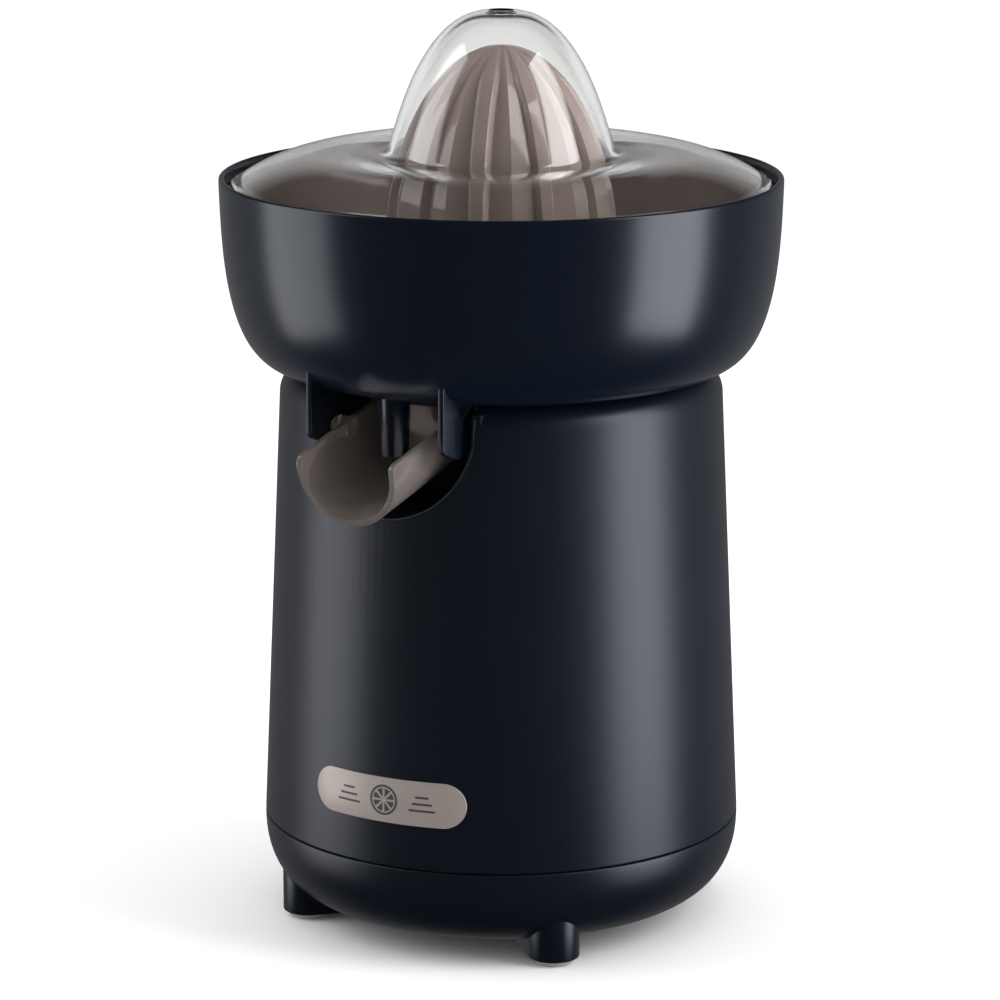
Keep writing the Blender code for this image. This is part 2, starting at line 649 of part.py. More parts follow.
def make_strainer():
    """The insert that fills the bowl: rim, side, slotted floor and centre collar."""
    rim = RIM_HEIGHT - STRAINER_RIM_DROP
    bowl_inside = RIM_RADIUS - BOWL_WALL
    rim_radius = bowl_inside - GAP - 0.2
    floor = RIM_HEIGHT - STRAINER_DEPTH
    collar = SPINDLE_CAP + 1.5
    collar_top = CAP_TOP + 5.0
    centre = (STRAINER_BASIN, floor + STRAINER_CURVE)
    reach = bowl_inside - STRAINER_BASIN - 5
    under = STRAINER_CURVE + STRAINER_WALL
    outer = [(rim_radius, rim), (rim_radius, rim - 3), (rim_radius - 3.5, rim - 3.6),
             *arc(centre, (reach, under), 0, -90, 4),
             (collar, floor - STRAINER_WALL), (collar, collar_top), (collar + STRAINER_WALL, collar_top),
             (collar + STRAINER_WALL, floor)]
    inner = [*arc(centre, (reach - STRAINER_WALL, STRAINER_CURVE), -90, 0, 4),
             (rim_radius - 4.6, rim - 1.2), (rim_radius - 2.4, rim)]
    strainer = turned("strainer", [*outer, *inner], SMOKE)
    for index in range(STRAINER_SLOTS):
        slot = block(f"strainer_slot_{index}", (30.0, -1.1, floor - 4), (58.0, 1.1, floor + 2), None)
        slot.rotation_euler = (0.0, 0.0, 2 * math.pi * index / STRAINER_SLOTS)
        cut(strainer, slot)


def lid_outline():
    """The lid's outer side as (radius, height), from the top of its hood to its edge."""
    base = RIM_HEIGHT + HOOD_BASE_RISE
    rise = HOOD_TOP_RISE - HOOD_BASE_RISE
    points = []
    for index in range(7):
        angle = math.radians(90 - 15 * index)
        share = max(math.sin(angle), 0.0) ** (2 / HOOD_FULLNESS)
        across = max(math.cos(angle), 0.0) ** (2 / HOOD_FULLNESS) if index else 0.0
        points.append(((HOOD_RADIUS - HOOD_DRAFT * rise * share) * across, base + rise * share))
    neck_drop = 5.0
    neck = (HOOD_RADIUS + HOOD_DRAFT * neck_drop, base - neck_drop)
    points += [neck, (neck[0] + LID_NECK_WIDTH * 0.3, base - LID_NECK_DROP)]
    start = neck[0] + LID_NECK_WIDTH
    for index in range(5):
        share = index / 4
        sag = 4 * LID_SAG * share * (1 - share)
        height = RIM_HEIGHT + LID_NECK_RISE - (LID_EDGE_DROP + LID_NECK_RISE) * share + sag
        points.append((start + (LID_RADIUS - start) * share, height))
    return points


def make_lid():
    """The clear cover: a flat dome inside the bowl's rim with a tall hood over the cone."""
    lid = turned("lid", lid_outline(), CLEAR, closed=False)
    shell = lid.modifiers.new("wall", "SOLIDIFY")
    shell.thickness = LID_WALL * MM
    shell.offset = -1.0
    shell.use_even_offset = True


# ---- Spout -----------------------------------------------------------------------------------

def make_spout():
    """The tilting trough: a deep round gutter with a closed back and two pivot pins."""
    inner = SPOUT_RADIUS - SPOUT_WALL
    open_angle = math.degrees(math.asin(SPOUT_SIDE_RISE / SPOUT_RADIUS))
    centre = (0.0, SPOUT_EDGE_OVER_PIVOT - SPOUT_SIDE_RISE)
    rim = centre[1] + SPOUT_SIDE_RISE
    outer_arc = arc(centre, (SPOUT_RADIUS, SPOUT_RADIUS), open_angle, -180 - open_angle, 16)
    inner_arc = arc(centre, (inner, inner), -180 - open_angle, open_angle, 16)
    inner_arc[0] = (inner_arc[0][0], rim)
    inner_arc[-1] = (inner_arc[-1][0], rim)
    spout = plate("spout", [[*outer_arc, *inner_arc]], -SPOUT_BACK, SPOUT_LENGTH - SPOUT_BACK, SMOKE)
    back = plate("spout_back", [outer_arc], -SPOUT_BACK, -SPOUT_BACK + SPOUT_WALL, None)
    reach = SPOUT_RADIUS + CHEEK_GAP + CHEEK_SEAT - GAP
    pins = rod("pivot_pins", PIVOT_PIN_RADIUS, -reach, reach, None, sides=FINE_SIDES)
    pins.rotation_euler = (0.0, math.radians(90), 0.0)
    hollow = plate("spout_hollow", [inner_arc], -SPOUT_BACK + SPOUT_WALL, SPOUT_LENGTH, None)
    fuse(spout, back)
    cut(pins, hollow)
    return spout, back, hollow, pins, make_lip_tool(rim)


def make_lip_tool(rim):
    """A bar across the lip whose lower side rounds off the lip's two upper corners."""
    front = SPOUT_LENGTH - SPOUT_BACK
    rounded = arc((LIP_CORNER - front, rim - LIP_CORNER), (LIP_CORNER, LIP_CORNER), 90, 180, 4)
    outline = [*rounded, (-front - 1, rim - LIP_CORNER), (-front - 1, rim + 1), (LIP_CORNER - front, rim + 1)]
    return plate("lip_tool", [outline], -SPOUT_RADIUS - 1, SPOUT_RADIUS + 1, None)


def place_spout():
    """Tilt the trough about its pivot, then add the pins, which lie on the pivot's axis."""
    spout, back, hollow, pins, lip_tool = make_spout()
    tilt = Matrix.Rotation(math.radians(90 + SPOUT_TILT), 4, "X")
    for piece in (spout, back, hollow):
        piece.rotation_euler = (math.radians(90 + SPOUT_TILT), 0.0, 0.0)
        piece.location = Vector(SPOUT_PIVOT) * MM
    across = Matrix.Rotation(math.radians(90), 4, "Y")
    lip_tool.matrix_world = Matrix.Translation(Vector(SPOUT_PIVOT) * MM) @ tilt @ across
    pins.location = Vector(SPOUT_PIVOT) * MM
    cut(spout, lip_tool)
    fuse(spout, pins)


# ---- Gears and shaft -------------------------------------------------------------------------

def involute(angle):
    return math.tan(angle) - angle


def gear_outline(teeth, module, phase):
    """A spur gear's outline: involute flanks, thinned by the backlash."""
    pitch = module * teeth / 2
    pressure = math.radians(PRESSURE_ANGLE)
    base = pitch * math.cos(pressure)
    tip = pitch + module * 0.85
    root = pitch - module * 1.15
    half_at_pitch = math.pi / (2 * teeth) - BACKLASH / 2 / pitch
    flank = []
    for step in range(2):
        radius = max(base, root) + (tip - max(base, root)) * step
        roll = math.acos(min(base / radius, 1.0))
        flank.append((radius, half_at_pitch + involute(pressure) - involute(roll)))
    half = [(root, flank[0][1]), *flank] if root < base - 0.05 else flank
    points = []
    for tooth in range(teeth):
        middle = phase + 2 * math.pi * tooth / teeth
        for radius, angle in half:
            points.append((radius * math.cos(middle - angle), radius * math.sin(middle - angle)))
        for radius, angle in reversed(half):
            points.append((radius * math.cos(middle + angle), radius * math.sin(middle + angle)))
    return points


def make_gears():
    """Motor pinion, two-step idler on its pin, and the output gear on the shaft."""
    to_idler = math.radians(IDLER_DIRECTION)
    to_motor = math.atan2(MOTOR_Y - IDLER_Y, -IDLER_X)
    first_low = PLATE_BOTTOM + PLATE_THICKNESS + 2.0
    first_high = first_low + 5.0
    second_low = first_high + 3.0
    second_high = second_low + 7.0
    idler = (IDLER_X, IDLER_Y, 0.0)
    motor = (0.0, MOTOR_Y, 0.0)

    phase = to_motor + math.pi + math.pi / PINION_TEETH
    bore = circle(MOTOR_SHAFT_TOP_RADIUS + GAP, count=FINE_SIDES)
    plate("motor_pinion", [gear_outline(PINION_TEETH, FIRST_MODULE, phase), bore],
          first_low - 0.5, first_high + 1.5, STEEL, motor)

    pin_bore = circle(PIN_RADIUS + GAP, count=FINE_SIDES)
    big = plate("idler_gear", [gear_outline(IDLER_TEETH, FIRST_MODULE, to_motor), pin_bore],
                first_low, first_high, WHITE, idler)
    phase = to_idler + math.pi + math.pi / IDLER_PINION_TEETH
    small = plate("idler_pinion", [gear_outline(IDLER_PINION_TEETH, SECOND_MODULE, phase), pin_bore],
                  first_high - 0.5, second_high + 1.0, None, idler)
    fuse(big, small)

    output = plate("output_gear", [gear_outline(OUTPUT_TEETH, SECOND_MODULE, to_idler)],
                   second_low, second_high, WHITE)
    fuse(output, rod("output_hub", 8.0, first_low - 0.4, COVER_BOTTOM - 0.4, None))
    cut(output, rod("hex_bore", HEX_RADIUS + 0.4, first_low - 2, COVER_BOTTOM + 1, None, sides=6))

    shoulder = PLATE_BOTTOM + PLATE_THICKNESS
    turned("thrust_washer", [(7.5, shoulder + 1.3), (7.5, shoulder + GAP), (5.6, shoulder + GAP),
                             (5.6, shoulder + 1.3)], BRONZE, 20)
    rod("idler_pin", PIN_RADIUS, PLATE_BOTTOM + 0.5, COVER_BOTTOM + PLATE_THICKNESS - 0.5, STEEL, idler[:2], 12)


def make_shaft():
    """The steel drive shaft: round journals, six-sided between them, with a collar and a spring."""
    top = HEX_TOP + 0.8
    shaft = rod("drive_shaft", HEX_RADIUS, SHAFT_BOTTOM + 1, top, STEEL, sides=6)
    plate_top = PLATE_BOTTOM + PLATE_THICKNESS
    fuse(shaft, rod("lower_journal", SHAFT_RADIUS, SHAFT_BOTTOM, plate_top + 0.6, None))
    fuse(shaft, rod("upper_journal", SHAFT_RADIUS, BUSH_SEAT - 2, SHOULDER_HEIGHT + HUB_RISE + 0.5, None))

    collar_bore = HEX_RADIUS + SHAFT_FIT
    turned("thrust_collar", [(COLLAR_RADIUS, COLLAR_BOTTOM + 3), (COLLAR_RADIUS, COLLAR_BOTTOM),
                             (collar_bore, COLLAR_BOTTOM), (collar_bore, COLLAR_BOTTOM + 3)], WHITE, 24)
    bush_low = BUSH_SEAT + GAP
    bush_high = SHOULDER_HEIGHT + HUB_RISE - 0.5
    bush_bore = SHAFT_RADIUS + SHAFT_FIT
    turned("shaft_bush", [(BUSH_RADIUS, bush_high), (BUSH_RADIUS, bush_low), (bush_bore, bush_low),
                          (bush_bore, bush_high)], BRONZE, 20)

    low = COVER_BOTTOM + PLATE_THICKNESS + GAP + SPRING_WIRE
    high = COLLAR_BOTTOM - GAP - SPRING_WIRE
    per_turn = 8
    spline_points = SPRING_TURNS * per_turn
    curve = bpy.data.curves.new("return_spring", "CURVE")
    curve.dimensions = "3D"
    curve.bevel_depth = SPRING_WIRE * MM
    curve.bevel_resolution = 1
    curve.use_fill_caps = True
    spline = curve.splines.new("POLY")
    spline.points.add(spline_points)
    for index, point in enumerate(spline.points):
        angle = 2 * math.pi * index / per_turn
        height = low + (high - low) * index / spline_points
        place = Vector((SPRING_RADIUS * math.cos(angle), SPRING_RADIUS * math.sin(angle), height)) * MM
        point.co = (*place, 1.0)
    spring = bpy.data.objects.new("return_spring", curve)
    parts.objects.link(spring)
    curve.materials.append(STEEL)


def make_gearbox():
    """Lower plate and cover that hold the gears, with their spacers and screws."""
    high = PLATE_BOTTOM + PLATE_THICKNESS
    motor_holes = [(side * MOTOR_SCREW_X, MOTOR_Y + MOTOR_SCREW_Y) for side in (-1, 1)]
    idler_hole = circle(PIN_RADIUS + GAP, (IDLER_X, IDLER_Y), 12)
    post_holes = [circle(1.8, post, 8) for post in GEAR_POSTS]
    plate("gearbox_plate", [circle(PLATE_RADIUS, count=40), circle(SHAFT_RADIUS + SHAFT_FIT), idler_hole,
                            circle(4.0, (0.0, MOTOR_Y), 12), *post_holes,
                            *[circle(1.8, place, 8) for place in motor_holes]], PLATE_BOTTOM, high, IRON)
    cover = plate("gearbox_cover", [circle(PLATE_RADIUS, count=40), circle(SHAFT_RADIUS + 0.6), idler_hole],
                  COVER_BOTTOM, COVER_BOTTOM + PLATE_THICKNESS, BLACK)
    for index, (x, y) in enumerate(GEAR_POSTS):
        fuse(cover, rod(f"spacer_{index}", 4.5, high + GAP, COVER_BOTTOM + 1, None, (x, y), 12))
        cut(cover, rod(f"spacer_hole_{index}", 1.8, high - 1, COVER_BOTTOM + 5, None, (x, y), 8))
        turned(f"gearbox_screw_{index + 1}", screw_profile(PLATE_BOTTOM - GAP, COVER_BOTTOM + 14), STEEL, 8,
               closed=False, place=(x, y, 0.0))


# ---- Motor and switch ------------------------------------------------------------------------

def make_motor():
    """A shaded-pole motor that hangs under the gearbox plate."""
    place = (0.0, MOTOR_Y, 0.0)
    low = STACK_BOTTOM
    high = low + STACK_HEIGHT
    holes = [(side * MOTOR_SCREW_X, MOTOR_SCREW_Y) for side in (-1, 1)]
    front = -STACK_FRONT
    window = rectangle((-17.0, front + COIL_LEG), (17.0, -ROTOR_BORE - 4))
    stack = rectangle((-STACK_HALF_WIDTH, front), (STACK_HALF_WIDTH, STACK_BACK))
    plate("motor_stator", [stack, circle(ROTOR_BORE, count=32), window,
                           *[circle(1.8, hole, 8) for hole in holes]], low, high, IRON, place)

    bobbin_y = (front - COIL_MARGIN, front + COIL_LEG + COIL_MARGIN - 1)
    half = 16.6
    wall = 1.8
    tube = block("motor_bobbin", (-half, front - wall + MOTOR_Y, low - wall),
                 (half, front + COIL_LEG + wall + MOTOR_Y, high + wall), WHITE)
    for side in (-1, 1):
        x = sorted((side * half, side * (half - 1.5)))
        fuse(tube, block(f"bobbin_flange_{side}", (x[0], bobbin_y[0] + MOTOR_Y, low - COIL_MARGIN),
                         (x[1], bobbin_y[1] + MOTOR_Y, high + COIL_MARGIN), None))
    cut(tube, block("bobbin_bore", (-half - 1, front - GAP + MOTOR_Y, low - GAP),
                    (half + 1, front + COIL_LEG + GAP + MOTOR_Y, high + GAP), None))
    inside = half - 1.5 - GAP
    coil = block("motor_winding", (-inside, bobbin_y[0] + 1 + MOTOR_Y, low - COIL_MARGIN + 1),
                 (inside, bobbin_y[1] - 1 + MOTOR_Y, high + COIL_MARGIN - 1), COPPER)
    cut(coil, block("winding_bore", (-half - 1, front - wall - GAP + MOTOR_Y, low - wall - GAP),
                    (half + 1, front + COIL_LEG + wall + GAP + MOTOR_Y, high + wall + GAP), None))

    bracket = rectangle((-STACK_HALF_WIDTH, -9.0), (STACK_HALF_WIDTH, STACK_BACK))
    sheet = 2.5
    brackets = (("motor_bracket_top", high + GAP, high + 9),
                ("motor_bracket_bottom", low - sheet - GAP, low - 9))
    for name, base, cup in brackets:
        piece = plate(name, [bracket, circle(MOTOR_SHAFT_RADIUS + GAP, count=FINE_SIDES),
                             *[circle(1.8, hole, 8) for hole in holes]], base, base + sheet, IRON, place)
        ends = sorted((base + sheet / 2, cup))
        ring = [circle(7.0), circle(MOTOR_SHAFT_RADIUS + GAP, count=FINE_SIDES)]
        boss = plate(f"{name}_cup", ring, *ends, None, place)
        fuse(piece, boss)

    rotor = rod("rotor", ROTOR_RADIUS, low + 1, high - 1, STEEL, place[:2], 32)
    fuse(rotor, rod("rotor_shaft", MOTOR_SHAFT_RADIUS, low - 22, PLATE_BOTTOM - 1, None, place[:2], 12))
    nose = rod("rotor_nose", MOTOR_SHAFT_TOP_RADIUS, PLATE_BOTTOM - 2, PLATE_BOTTOM + 12, None, place[:2], FINE_SIDES)
    fuse(rotor, nose)

    hub_low = low - 20
    hub = [circle(5.5), circle(MOTOR_SHAFT_RADIUS + GAP, count=FINE_SIDES)]
    fan = plate("cooling_fan", hub, hub_low, hub_low + 7, BLACK, place)
    for index in range(6):
        blade = block(f"fan_blade_{index}", (4.6, -4.0, -0.6), (19.0, 4.0, 0.6), None)
        turn = Matrix.Rotation(math.radians(60 * index), 4, "Z") @ Matrix.Rotation(math.radians(32), 4, "X")
        blade.matrix_world = Matrix.Translation(Vector((0.0, MOTOR_Y, hub_low + 3.5)) * MM) @ turn
        fuse(fan, blade)

    for index, (x, y) in enumerate(holes):
        spot = (x, MOTOR_Y + y)
        profile = screw_profile(low - sheet - 2 * GAP, PLATE_BOTTOM + 3.6)
        turned(f"motor_screw_{index + 1}", profile, STEEL, SCREW_SIDES, closed=False, place=(*spot, 0.0))
        plate(f"motor_spacer_{index + 1}", [circle(3.6, count=FINE_SIDES), circle(1.8, count=SCREW_SIDES)],
              high + sheet + 2 * GAP, PLATE_BOTTOM - GAP, STEEL, (*spot, 0.0))


def make_switch():
    """The switch on the gearbox cover and the plunger that the collar pushes down."""
    low = COVER_BOTTOM + PLATE_THICKNESS + GAP
    plunger_x = -(SPRING_RADIUS + SPRING_WIRE + 3.6)
    body = block("switch_body", (plunger_x - 15.0, -3.2, low), (plunger_x + 2.9, 3.2, low + 10.0), BLACK)
    cut(body, rod("plunger_hole", 1.5 + GAP, low + 4.0, low + 12, None, (plunger_x, 0.0), 12))
    rod("switch_plunger", 1.5, low + 7.0, COLLAR_BOTTOM - GAP, WHITE, (plunger_x, 0.0), 12)


make_housing()
make_badge()
make_base()
make_gland()
make_bowl()
make_spindle()
make_cone()
make_strainer()
make_lid()
place_spout()
make_gears()
make_shaft()
make_gearbox()
make_motor()
make_switch()
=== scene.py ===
"""Electric citrus press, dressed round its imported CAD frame.

Lengths are in millimetres and become metres through MM. The spout and the badge face -Y.
"""
import json
import math

import bmesh
import bpy
from mathutils import Matrix, Vector


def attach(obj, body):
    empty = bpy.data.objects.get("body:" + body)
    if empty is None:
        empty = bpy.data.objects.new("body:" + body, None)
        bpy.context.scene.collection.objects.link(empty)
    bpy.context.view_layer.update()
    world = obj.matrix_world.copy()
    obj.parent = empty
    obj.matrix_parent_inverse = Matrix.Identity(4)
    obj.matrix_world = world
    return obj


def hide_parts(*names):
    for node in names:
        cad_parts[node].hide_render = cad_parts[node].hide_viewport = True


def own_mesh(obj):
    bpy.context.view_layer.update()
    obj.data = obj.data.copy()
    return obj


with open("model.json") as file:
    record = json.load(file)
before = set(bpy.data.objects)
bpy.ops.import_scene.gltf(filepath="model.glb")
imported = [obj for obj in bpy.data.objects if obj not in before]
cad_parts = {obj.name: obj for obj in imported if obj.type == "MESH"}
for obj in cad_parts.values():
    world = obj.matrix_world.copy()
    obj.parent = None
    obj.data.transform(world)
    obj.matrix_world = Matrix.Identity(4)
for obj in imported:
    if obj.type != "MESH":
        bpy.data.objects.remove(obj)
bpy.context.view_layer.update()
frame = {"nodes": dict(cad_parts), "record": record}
MM = 0.001

# ---- Studio --------------------------------------------------------------------------------
# The press stands on a small white table between two tall softboxes, one on each side.
# The wall behind it is white and lights the table, and the room on the camera's side is dimmer.
# Mirrored and refracted rays see a dark room with only the foot of the white wall lit.
CAMERA_BEARING = 30.3          # degrees round from the front, towards +X
CAMERA_PITCH = 13.336
CAMERA_DISTANCE = 1388.5
CAMERA_HEIGHT = 468.1
CAMERA_LENS = 154.14
CAMERA_SHIFT = -0.0013
TABLE_RADIUS = 0.23
FLOOR_RADIUS = 8.0
LIGHT_DISTANCE = 1.2
FRONT_FILL = 0.6               # strength of the room's light on the camera's side
BACK_FILL = 1.4                # and behind the press
WALL_FACING = (0.1, 0.6)       # how squarely a ray meets the wall, from unlit to lit
WALL_FADE = (0.2, 0.42)        # steepness of a ray between which the wall's foot fades
DARK_ROOM = 0.03
MIRROR_SHARE = 0.2             # how much of the wall's foot a mirrored ray keeps


def bearing(degrees):
    """Flat direction at an angle from the camera's own side, to its right."""
    angle = math.radians(CAMERA_BEARING + degrees)
    return Vector((math.sin(angle), -math.cos(angle), 0.0))


scene = bpy.context.scene
scene.view_settings.view_transform = "Standard"
camera = bpy.data.objects.new("camera", bpy.data.cameras.new("camera"))
camera.data.lens = CAMERA_LENS
camera.data.sensor_width = 36.0
camera.data.shift_x = CAMERA_SHIFT
camera.location = bearing(0) * CAMERA_DISTANCE * MM + Vector((0.0, 0.0, CAMERA_HEIGHT * MM))
camera.rotation_euler = (math.radians(90 - CAMERA_PITCH), 0.0, math.radians(CAMERA_BEARING))
scene.collection.objects.link(camera)
scene.camera = camera


def softbox(name, degrees, width, power, tall=2.25, middle=0.67):
    """A tall soft light beside the press, which reaches below the table's top."""
    light = bpy.data.lights.new(name, "AREA")
    light.shape = "RECTANGLE"
    light.size = width
    light.size_y = tall
    light.energy = power
    stand = bpy.data.objects.new(name, light)
    stand.location = bearing(degrees) * LIGHT_DISTANCE + Vector((0.0, 0.0, middle))
    aim = Vector((0.0, 0.0, middle)) - stand.location
    stand.rotation_euler = aim.to_track_quat("-Z", "Y").to_euler()
    scene.collection.objects.link(stand)


softbox("left_softbox", -90.0, 0.76, 12.5)
softbox("right_softbox", 71.0, 0.70, 23.0)


def add_node(tree, kind, links=(), **settings):
    """Add a node: settings set its properties or inputs, links join (input, output) pairs."""
    made = tree.nodes.new(kind)
    for key, value in settings.items():
        if hasattr(made, key):
            setattr(made, key, value)
        else:
            made.inputs[key.replace("_", " ")].default_value = value
    for place, source in links:
        tree.links.new(made.inputs[place], source)
    return made


world = bpy.data.worlds.new("studio_room")
world.use_nodes = True
scene.world = world
room = world.node_tree
rays = add_node(room, "ShaderNodeLightPath")
outwards = add_node(room, "ShaderNodeTexCoord").outputs["Generated"]
behind = add_node(room, "ShaderNodeVectorMath", [(0, outwards)], operation="DOT_PRODUCT")
behind.inputs[1].default_value = bearing(180)
upwards = add_node(room, "ShaderNodeSeparateXYZ", [(0, outwards)])
fill = add_node(room, "ShaderNodeMapRange", [("Value", behind.outputs["Value"])],
                From_Min=-1.0, To_Min=FRONT_FILL, To_Max=BACK_FILL)
facing = add_node(room, "ShaderNodeMapRange", [("Value", behind.outputs["Value"])],
                  From_Min=WALL_FACING[0], From_Max=WALL_FACING[1])
wall_foot = add_node(room, "ShaderNodeMapRange",
                     [("Value", upwards.outputs["Z"]), ("To Min", facing.outputs["Result"])],
                     From_Min=WALL_FADE[0], From_Max=WALL_FADE[1], To_Max=DARK_ROOM)
share = add_node(room, "ShaderNodeMapRange", [("Value", rays.outputs["Is Transmission Ray"])],
                 To_Min=MIRROR_SHARE)
shown = add_node(room, "ShaderNodeMath",
                 [(0, wall_foot.outputs["Result"]), (1, share.outputs["Result"])],
                 operation="MULTIPLY")
bright = add_node(room, "ShaderNodeMix",
                  [("Factor", rays.outputs["Is Glossy Ray"]), ("A", fill.outputs["Result"]),
                   ("B", shown.outputs["Value"])])
room.links.new(room.nodes["Background"].inputs["Strength"], bright.outputs["Result"])
room.nodes["Background"].inputs["Color"].default_value = (1.0, 1.0, 1.0, 1.0)


def linear(code):
    """An sRGB hex colour as linear values."""
    parts = [int(code[at:at + 2], 16) / 255 for at in (0, 2, 4)]
    return tuple(p / 12.92 if p <= 0.04045 else ((p + 0.055) / 1.055) ** 2.4 for p in parts) + (1.0,)


def new_material(name):
    """A material with its tree and its Principled shader."""
    made = bpy.data.materials.new(name)
    made.use_nodes = True
    return made, made.node_tree, made.node_tree.nodes["Principled BSDF"]


def texture(tree, kind, size, **settings):
    """A texture in the object's own coordinates whose features have a size in millimetres."""
    place = add_node(tree, "ShaderNodeTexCoord")
    return add_node(tree, kind, [("Vector", place.outputs["Object"])],
                    Scale=1 / (size * MM), **settings)


def colour_by(tree, shader, source, low, high):
    """Run a shader's colour between two hex tones by a texture's output."""
    tone = add_node(tree, "ShaderNodeValToRGB", [("Fac", source)])
    tone.color_ramp.elements[0].color = linear(low)
    tone.color_ramp.elements[1].color = linear(high)
    tree.links.new(shader.inputs["Base Color"], tone.outputs["Color"])


def bump_by(tree, shader, source, strength, height):
    """Roughen a surface by a texture's output, up to a height in millimetres."""
    bump = add_node(tree, "ShaderNodeBump", [("Height", source)],
                    Strength=strength, Distance=height * MM)
    tree.links.new(shader.inputs["Normal"], bump.outputs["Normal"])


# White laminate: nearly even, with a faint mottle about 30 mm across.
laminate, tree, shader = new_material("white_laminate")
mottle = texture(tree, "ShaderNodeTexNoise", 30)
colour_by(tree, shader, mottle.outputs["Fac"], "FBFBFB", "FEFEFE")
shader.inputs["Roughness"].default_value = 0.9
shader.inputs["Specular IOR Level"].default_value = 0.0


def floor_ring(name, inner, outer):
    """A flat ring of floor, closed in the middle when it has no inner radius."""
    bm = bmesh.new()
    ends = [bm.verts.new((radius, 0.0, 0.0)) for radius in (inner, outer)]
    strip = bm.edges.new(ends)
    bmesh.ops.spin(bm, geom=[*ends, strip], axis=(0, 0, 1), cent=(0, 0, 0), angle=math.tau,
                   steps=96, use_merge=True)
    bmesh.ops.remove_doubles(bm, verts=bm.verts, dist=0.000001)
    for face in bm.faces:
        if face.normal.z < 0:
            face.normal_flip()
    mesh = bpy.data.meshes.new(name)
    bm.to_mesh(mesh)
    bm.free()
    mesh.materials.append(laminate)
    made = bpy.data.objects.new(name, mesh)
    scene.collection.objects.link(made)
    return made


table_top = floor_ring("table_top", 0.0, TABLE_RADIUS)
far_floor = floor_ring("far_floor", TABLE_RADIUS, FLOOR_RADIUS)
table_top.visible_glossy = False
far_floor.visible_glossy = False
far_floor.visible_shadow = False

# ---- Base pan ------------------------------------------------------------------------------
# The shallow round pan under the housing is moulded in navy ABS with a fine satin spark finish.
# It has four long posts for feet, vent slots for the motor, and four screws hold it from below.
SEAM_HEIGHT = 34.0
SEAM_RADIUS = 79.6
SEAM_GAP = 0.3
PAN_BOTTOM = 6.0
PAN_FLAT_RADIUS = 55.0
PAN_FULLNESS = 2.35
PAN_WALL = 2.5
EDGE = 0.45                    # rounding of a moulded edge
FOOT_CIRCLE = 67.0
FOOT_RADIUS = 8.5
FOOT_REACH = 25.0
FOOT_BOTTOM = 1.8
SCREW_CIRCLE = 62.0
SCREW_START = 20.0
VENT_SPAN = (12.0, 32.0)       # distances from the axis
VENT_HALF_WIDTH = 1.5
WELL_RADIUS = 4.0
WELL_TOP = 24.0
POST_OVERLAP = 12.0
SEAT_RADIUS = 6.8
SEAT_TOP = 3.0
TURN_STEPS = 160


def arc(centre, radii, start, end, count):
    """Points of an elliptical arc, angles in degrees."""
    turns = [math.radians(start + (end - start) * index / count) for index in range(count + 1)]
    return [(centre[0] + radii[0] * math.cos(a), centre[1] + radii[1] * math.sin(a)) for a in turns]


def eased(corners, steps=4):
    """An outline whose corners given as (x, y, radius) are rounded."""
    points = []
    for index, corner in enumerate(corners):
        here = Vector(corner[:2])
        if len(corner) < 3 or index in (0, len(corners) - 1):
            points.append(tuple(here))
            continue
        before = Vector(corners[index - 1][:2]) - here
        after = Vector(corners[index + 1][:2]) - here
        reach = min(corner[2], before.length * 0.49, after.length * 0.49)
        first = here + before.normalized() * reach
        last = here + after.normalized() * reach
        for step in range(steps + 1):
            t = step / steps
            points.append(tuple(first * (1 - t) ** 2 + here * 2 * t * (1 - t) + last * t ** 2))
    return points


def spun(profile, closed=True, steps=TURN_STEPS, centre=(0.0, 0.0)):
    """Spin a profile of (radius, height) round an upright axis into a closed skin."""
    bm = bmesh.new()
    corners = [bm.verts.new((radius * MM, 0.0, height * MM)) for radius, height in profile]
    edges = [bm.edges.new(pair) for pair in zip(corners, corners[1:])]
    if closed:
        edges.append(bm.edges.new((corners[-1], corners[0])))
    bmesh.ops.spin(bm, geom=[*corners, *edges], axis=(0, 0, 1), cent=(0, 0, 0), angle=math.tau,
                   steps=steps, use_merge=True)
    bmesh.ops.remove_doubles(bm, verts=bm.verts, dist=0.000001)
    bmesh.ops.recalc_face_normals(bm, faces=bm.faces)
    bmesh.ops.translate(bm, verts=bm.verts, vec=(centre[0] * MM, centre[1] * MM, 0.0))
    return bm


def slab(outline, low, high):
    """Extrude a flat outline of (x, y) from one height to another into a closed body."""
    bm = bmesh.new()
    face = bm.faces.new([bm.verts.new((x * MM, y * MM, low * MM)) for x, y in outline])
    grown = bmesh.ops.extrude_face_region(bm, geom=[face])["geom"]
    raised = [item for item in grown if isinstance(item, bmesh.types.BMVert)]
    bmesh.ops.translate(bm, verts=raised, vec=(0.0, 0.0, (high - low) * MM))
    bmesh.ops.recalc_face_normals(bm, faces=bm.faces)
    return bm


def soften(bm, width, angle=40.0, segments=3):
    """Bevel every edge that is sharper than an angle."""
    sharp = [edge for edge in bm.edges
             if edge.is_manifold and edge.calc_face_angle() > math.radians(angle)]
    bmesh.ops.bevel(bm, geom=sharp, offset=width * MM, offset_type="OFFSET", affect="EDGES",
                    segments=segments, profile=0.5, material=-1, clamp_overlap=True)
    return bm


def turn(bm, degrees, axis="Z", centre=(0.0, 0.0, 0.0)):
    """Rotate a whole bmesh about a point given in millimetres."""
    bmesh.ops.rotate(bm, verts=bm.verts, cent=Vector(centre) * MM,
                     matrix=Matrix.Rotation(math.radians(degrees), 3, axis))
    return bm


def gather(bodies):
    """Put several bmeshes into one."""
    whole = bmesh.new()
    for bm in bodies:
        mesh = bpy.data.meshes.new("loose")
        bm.to_mesh(mesh)
        bm.free()
        whole.from_mesh(mesh)
        bpy.data.meshes.remove(mesh)
    return whole


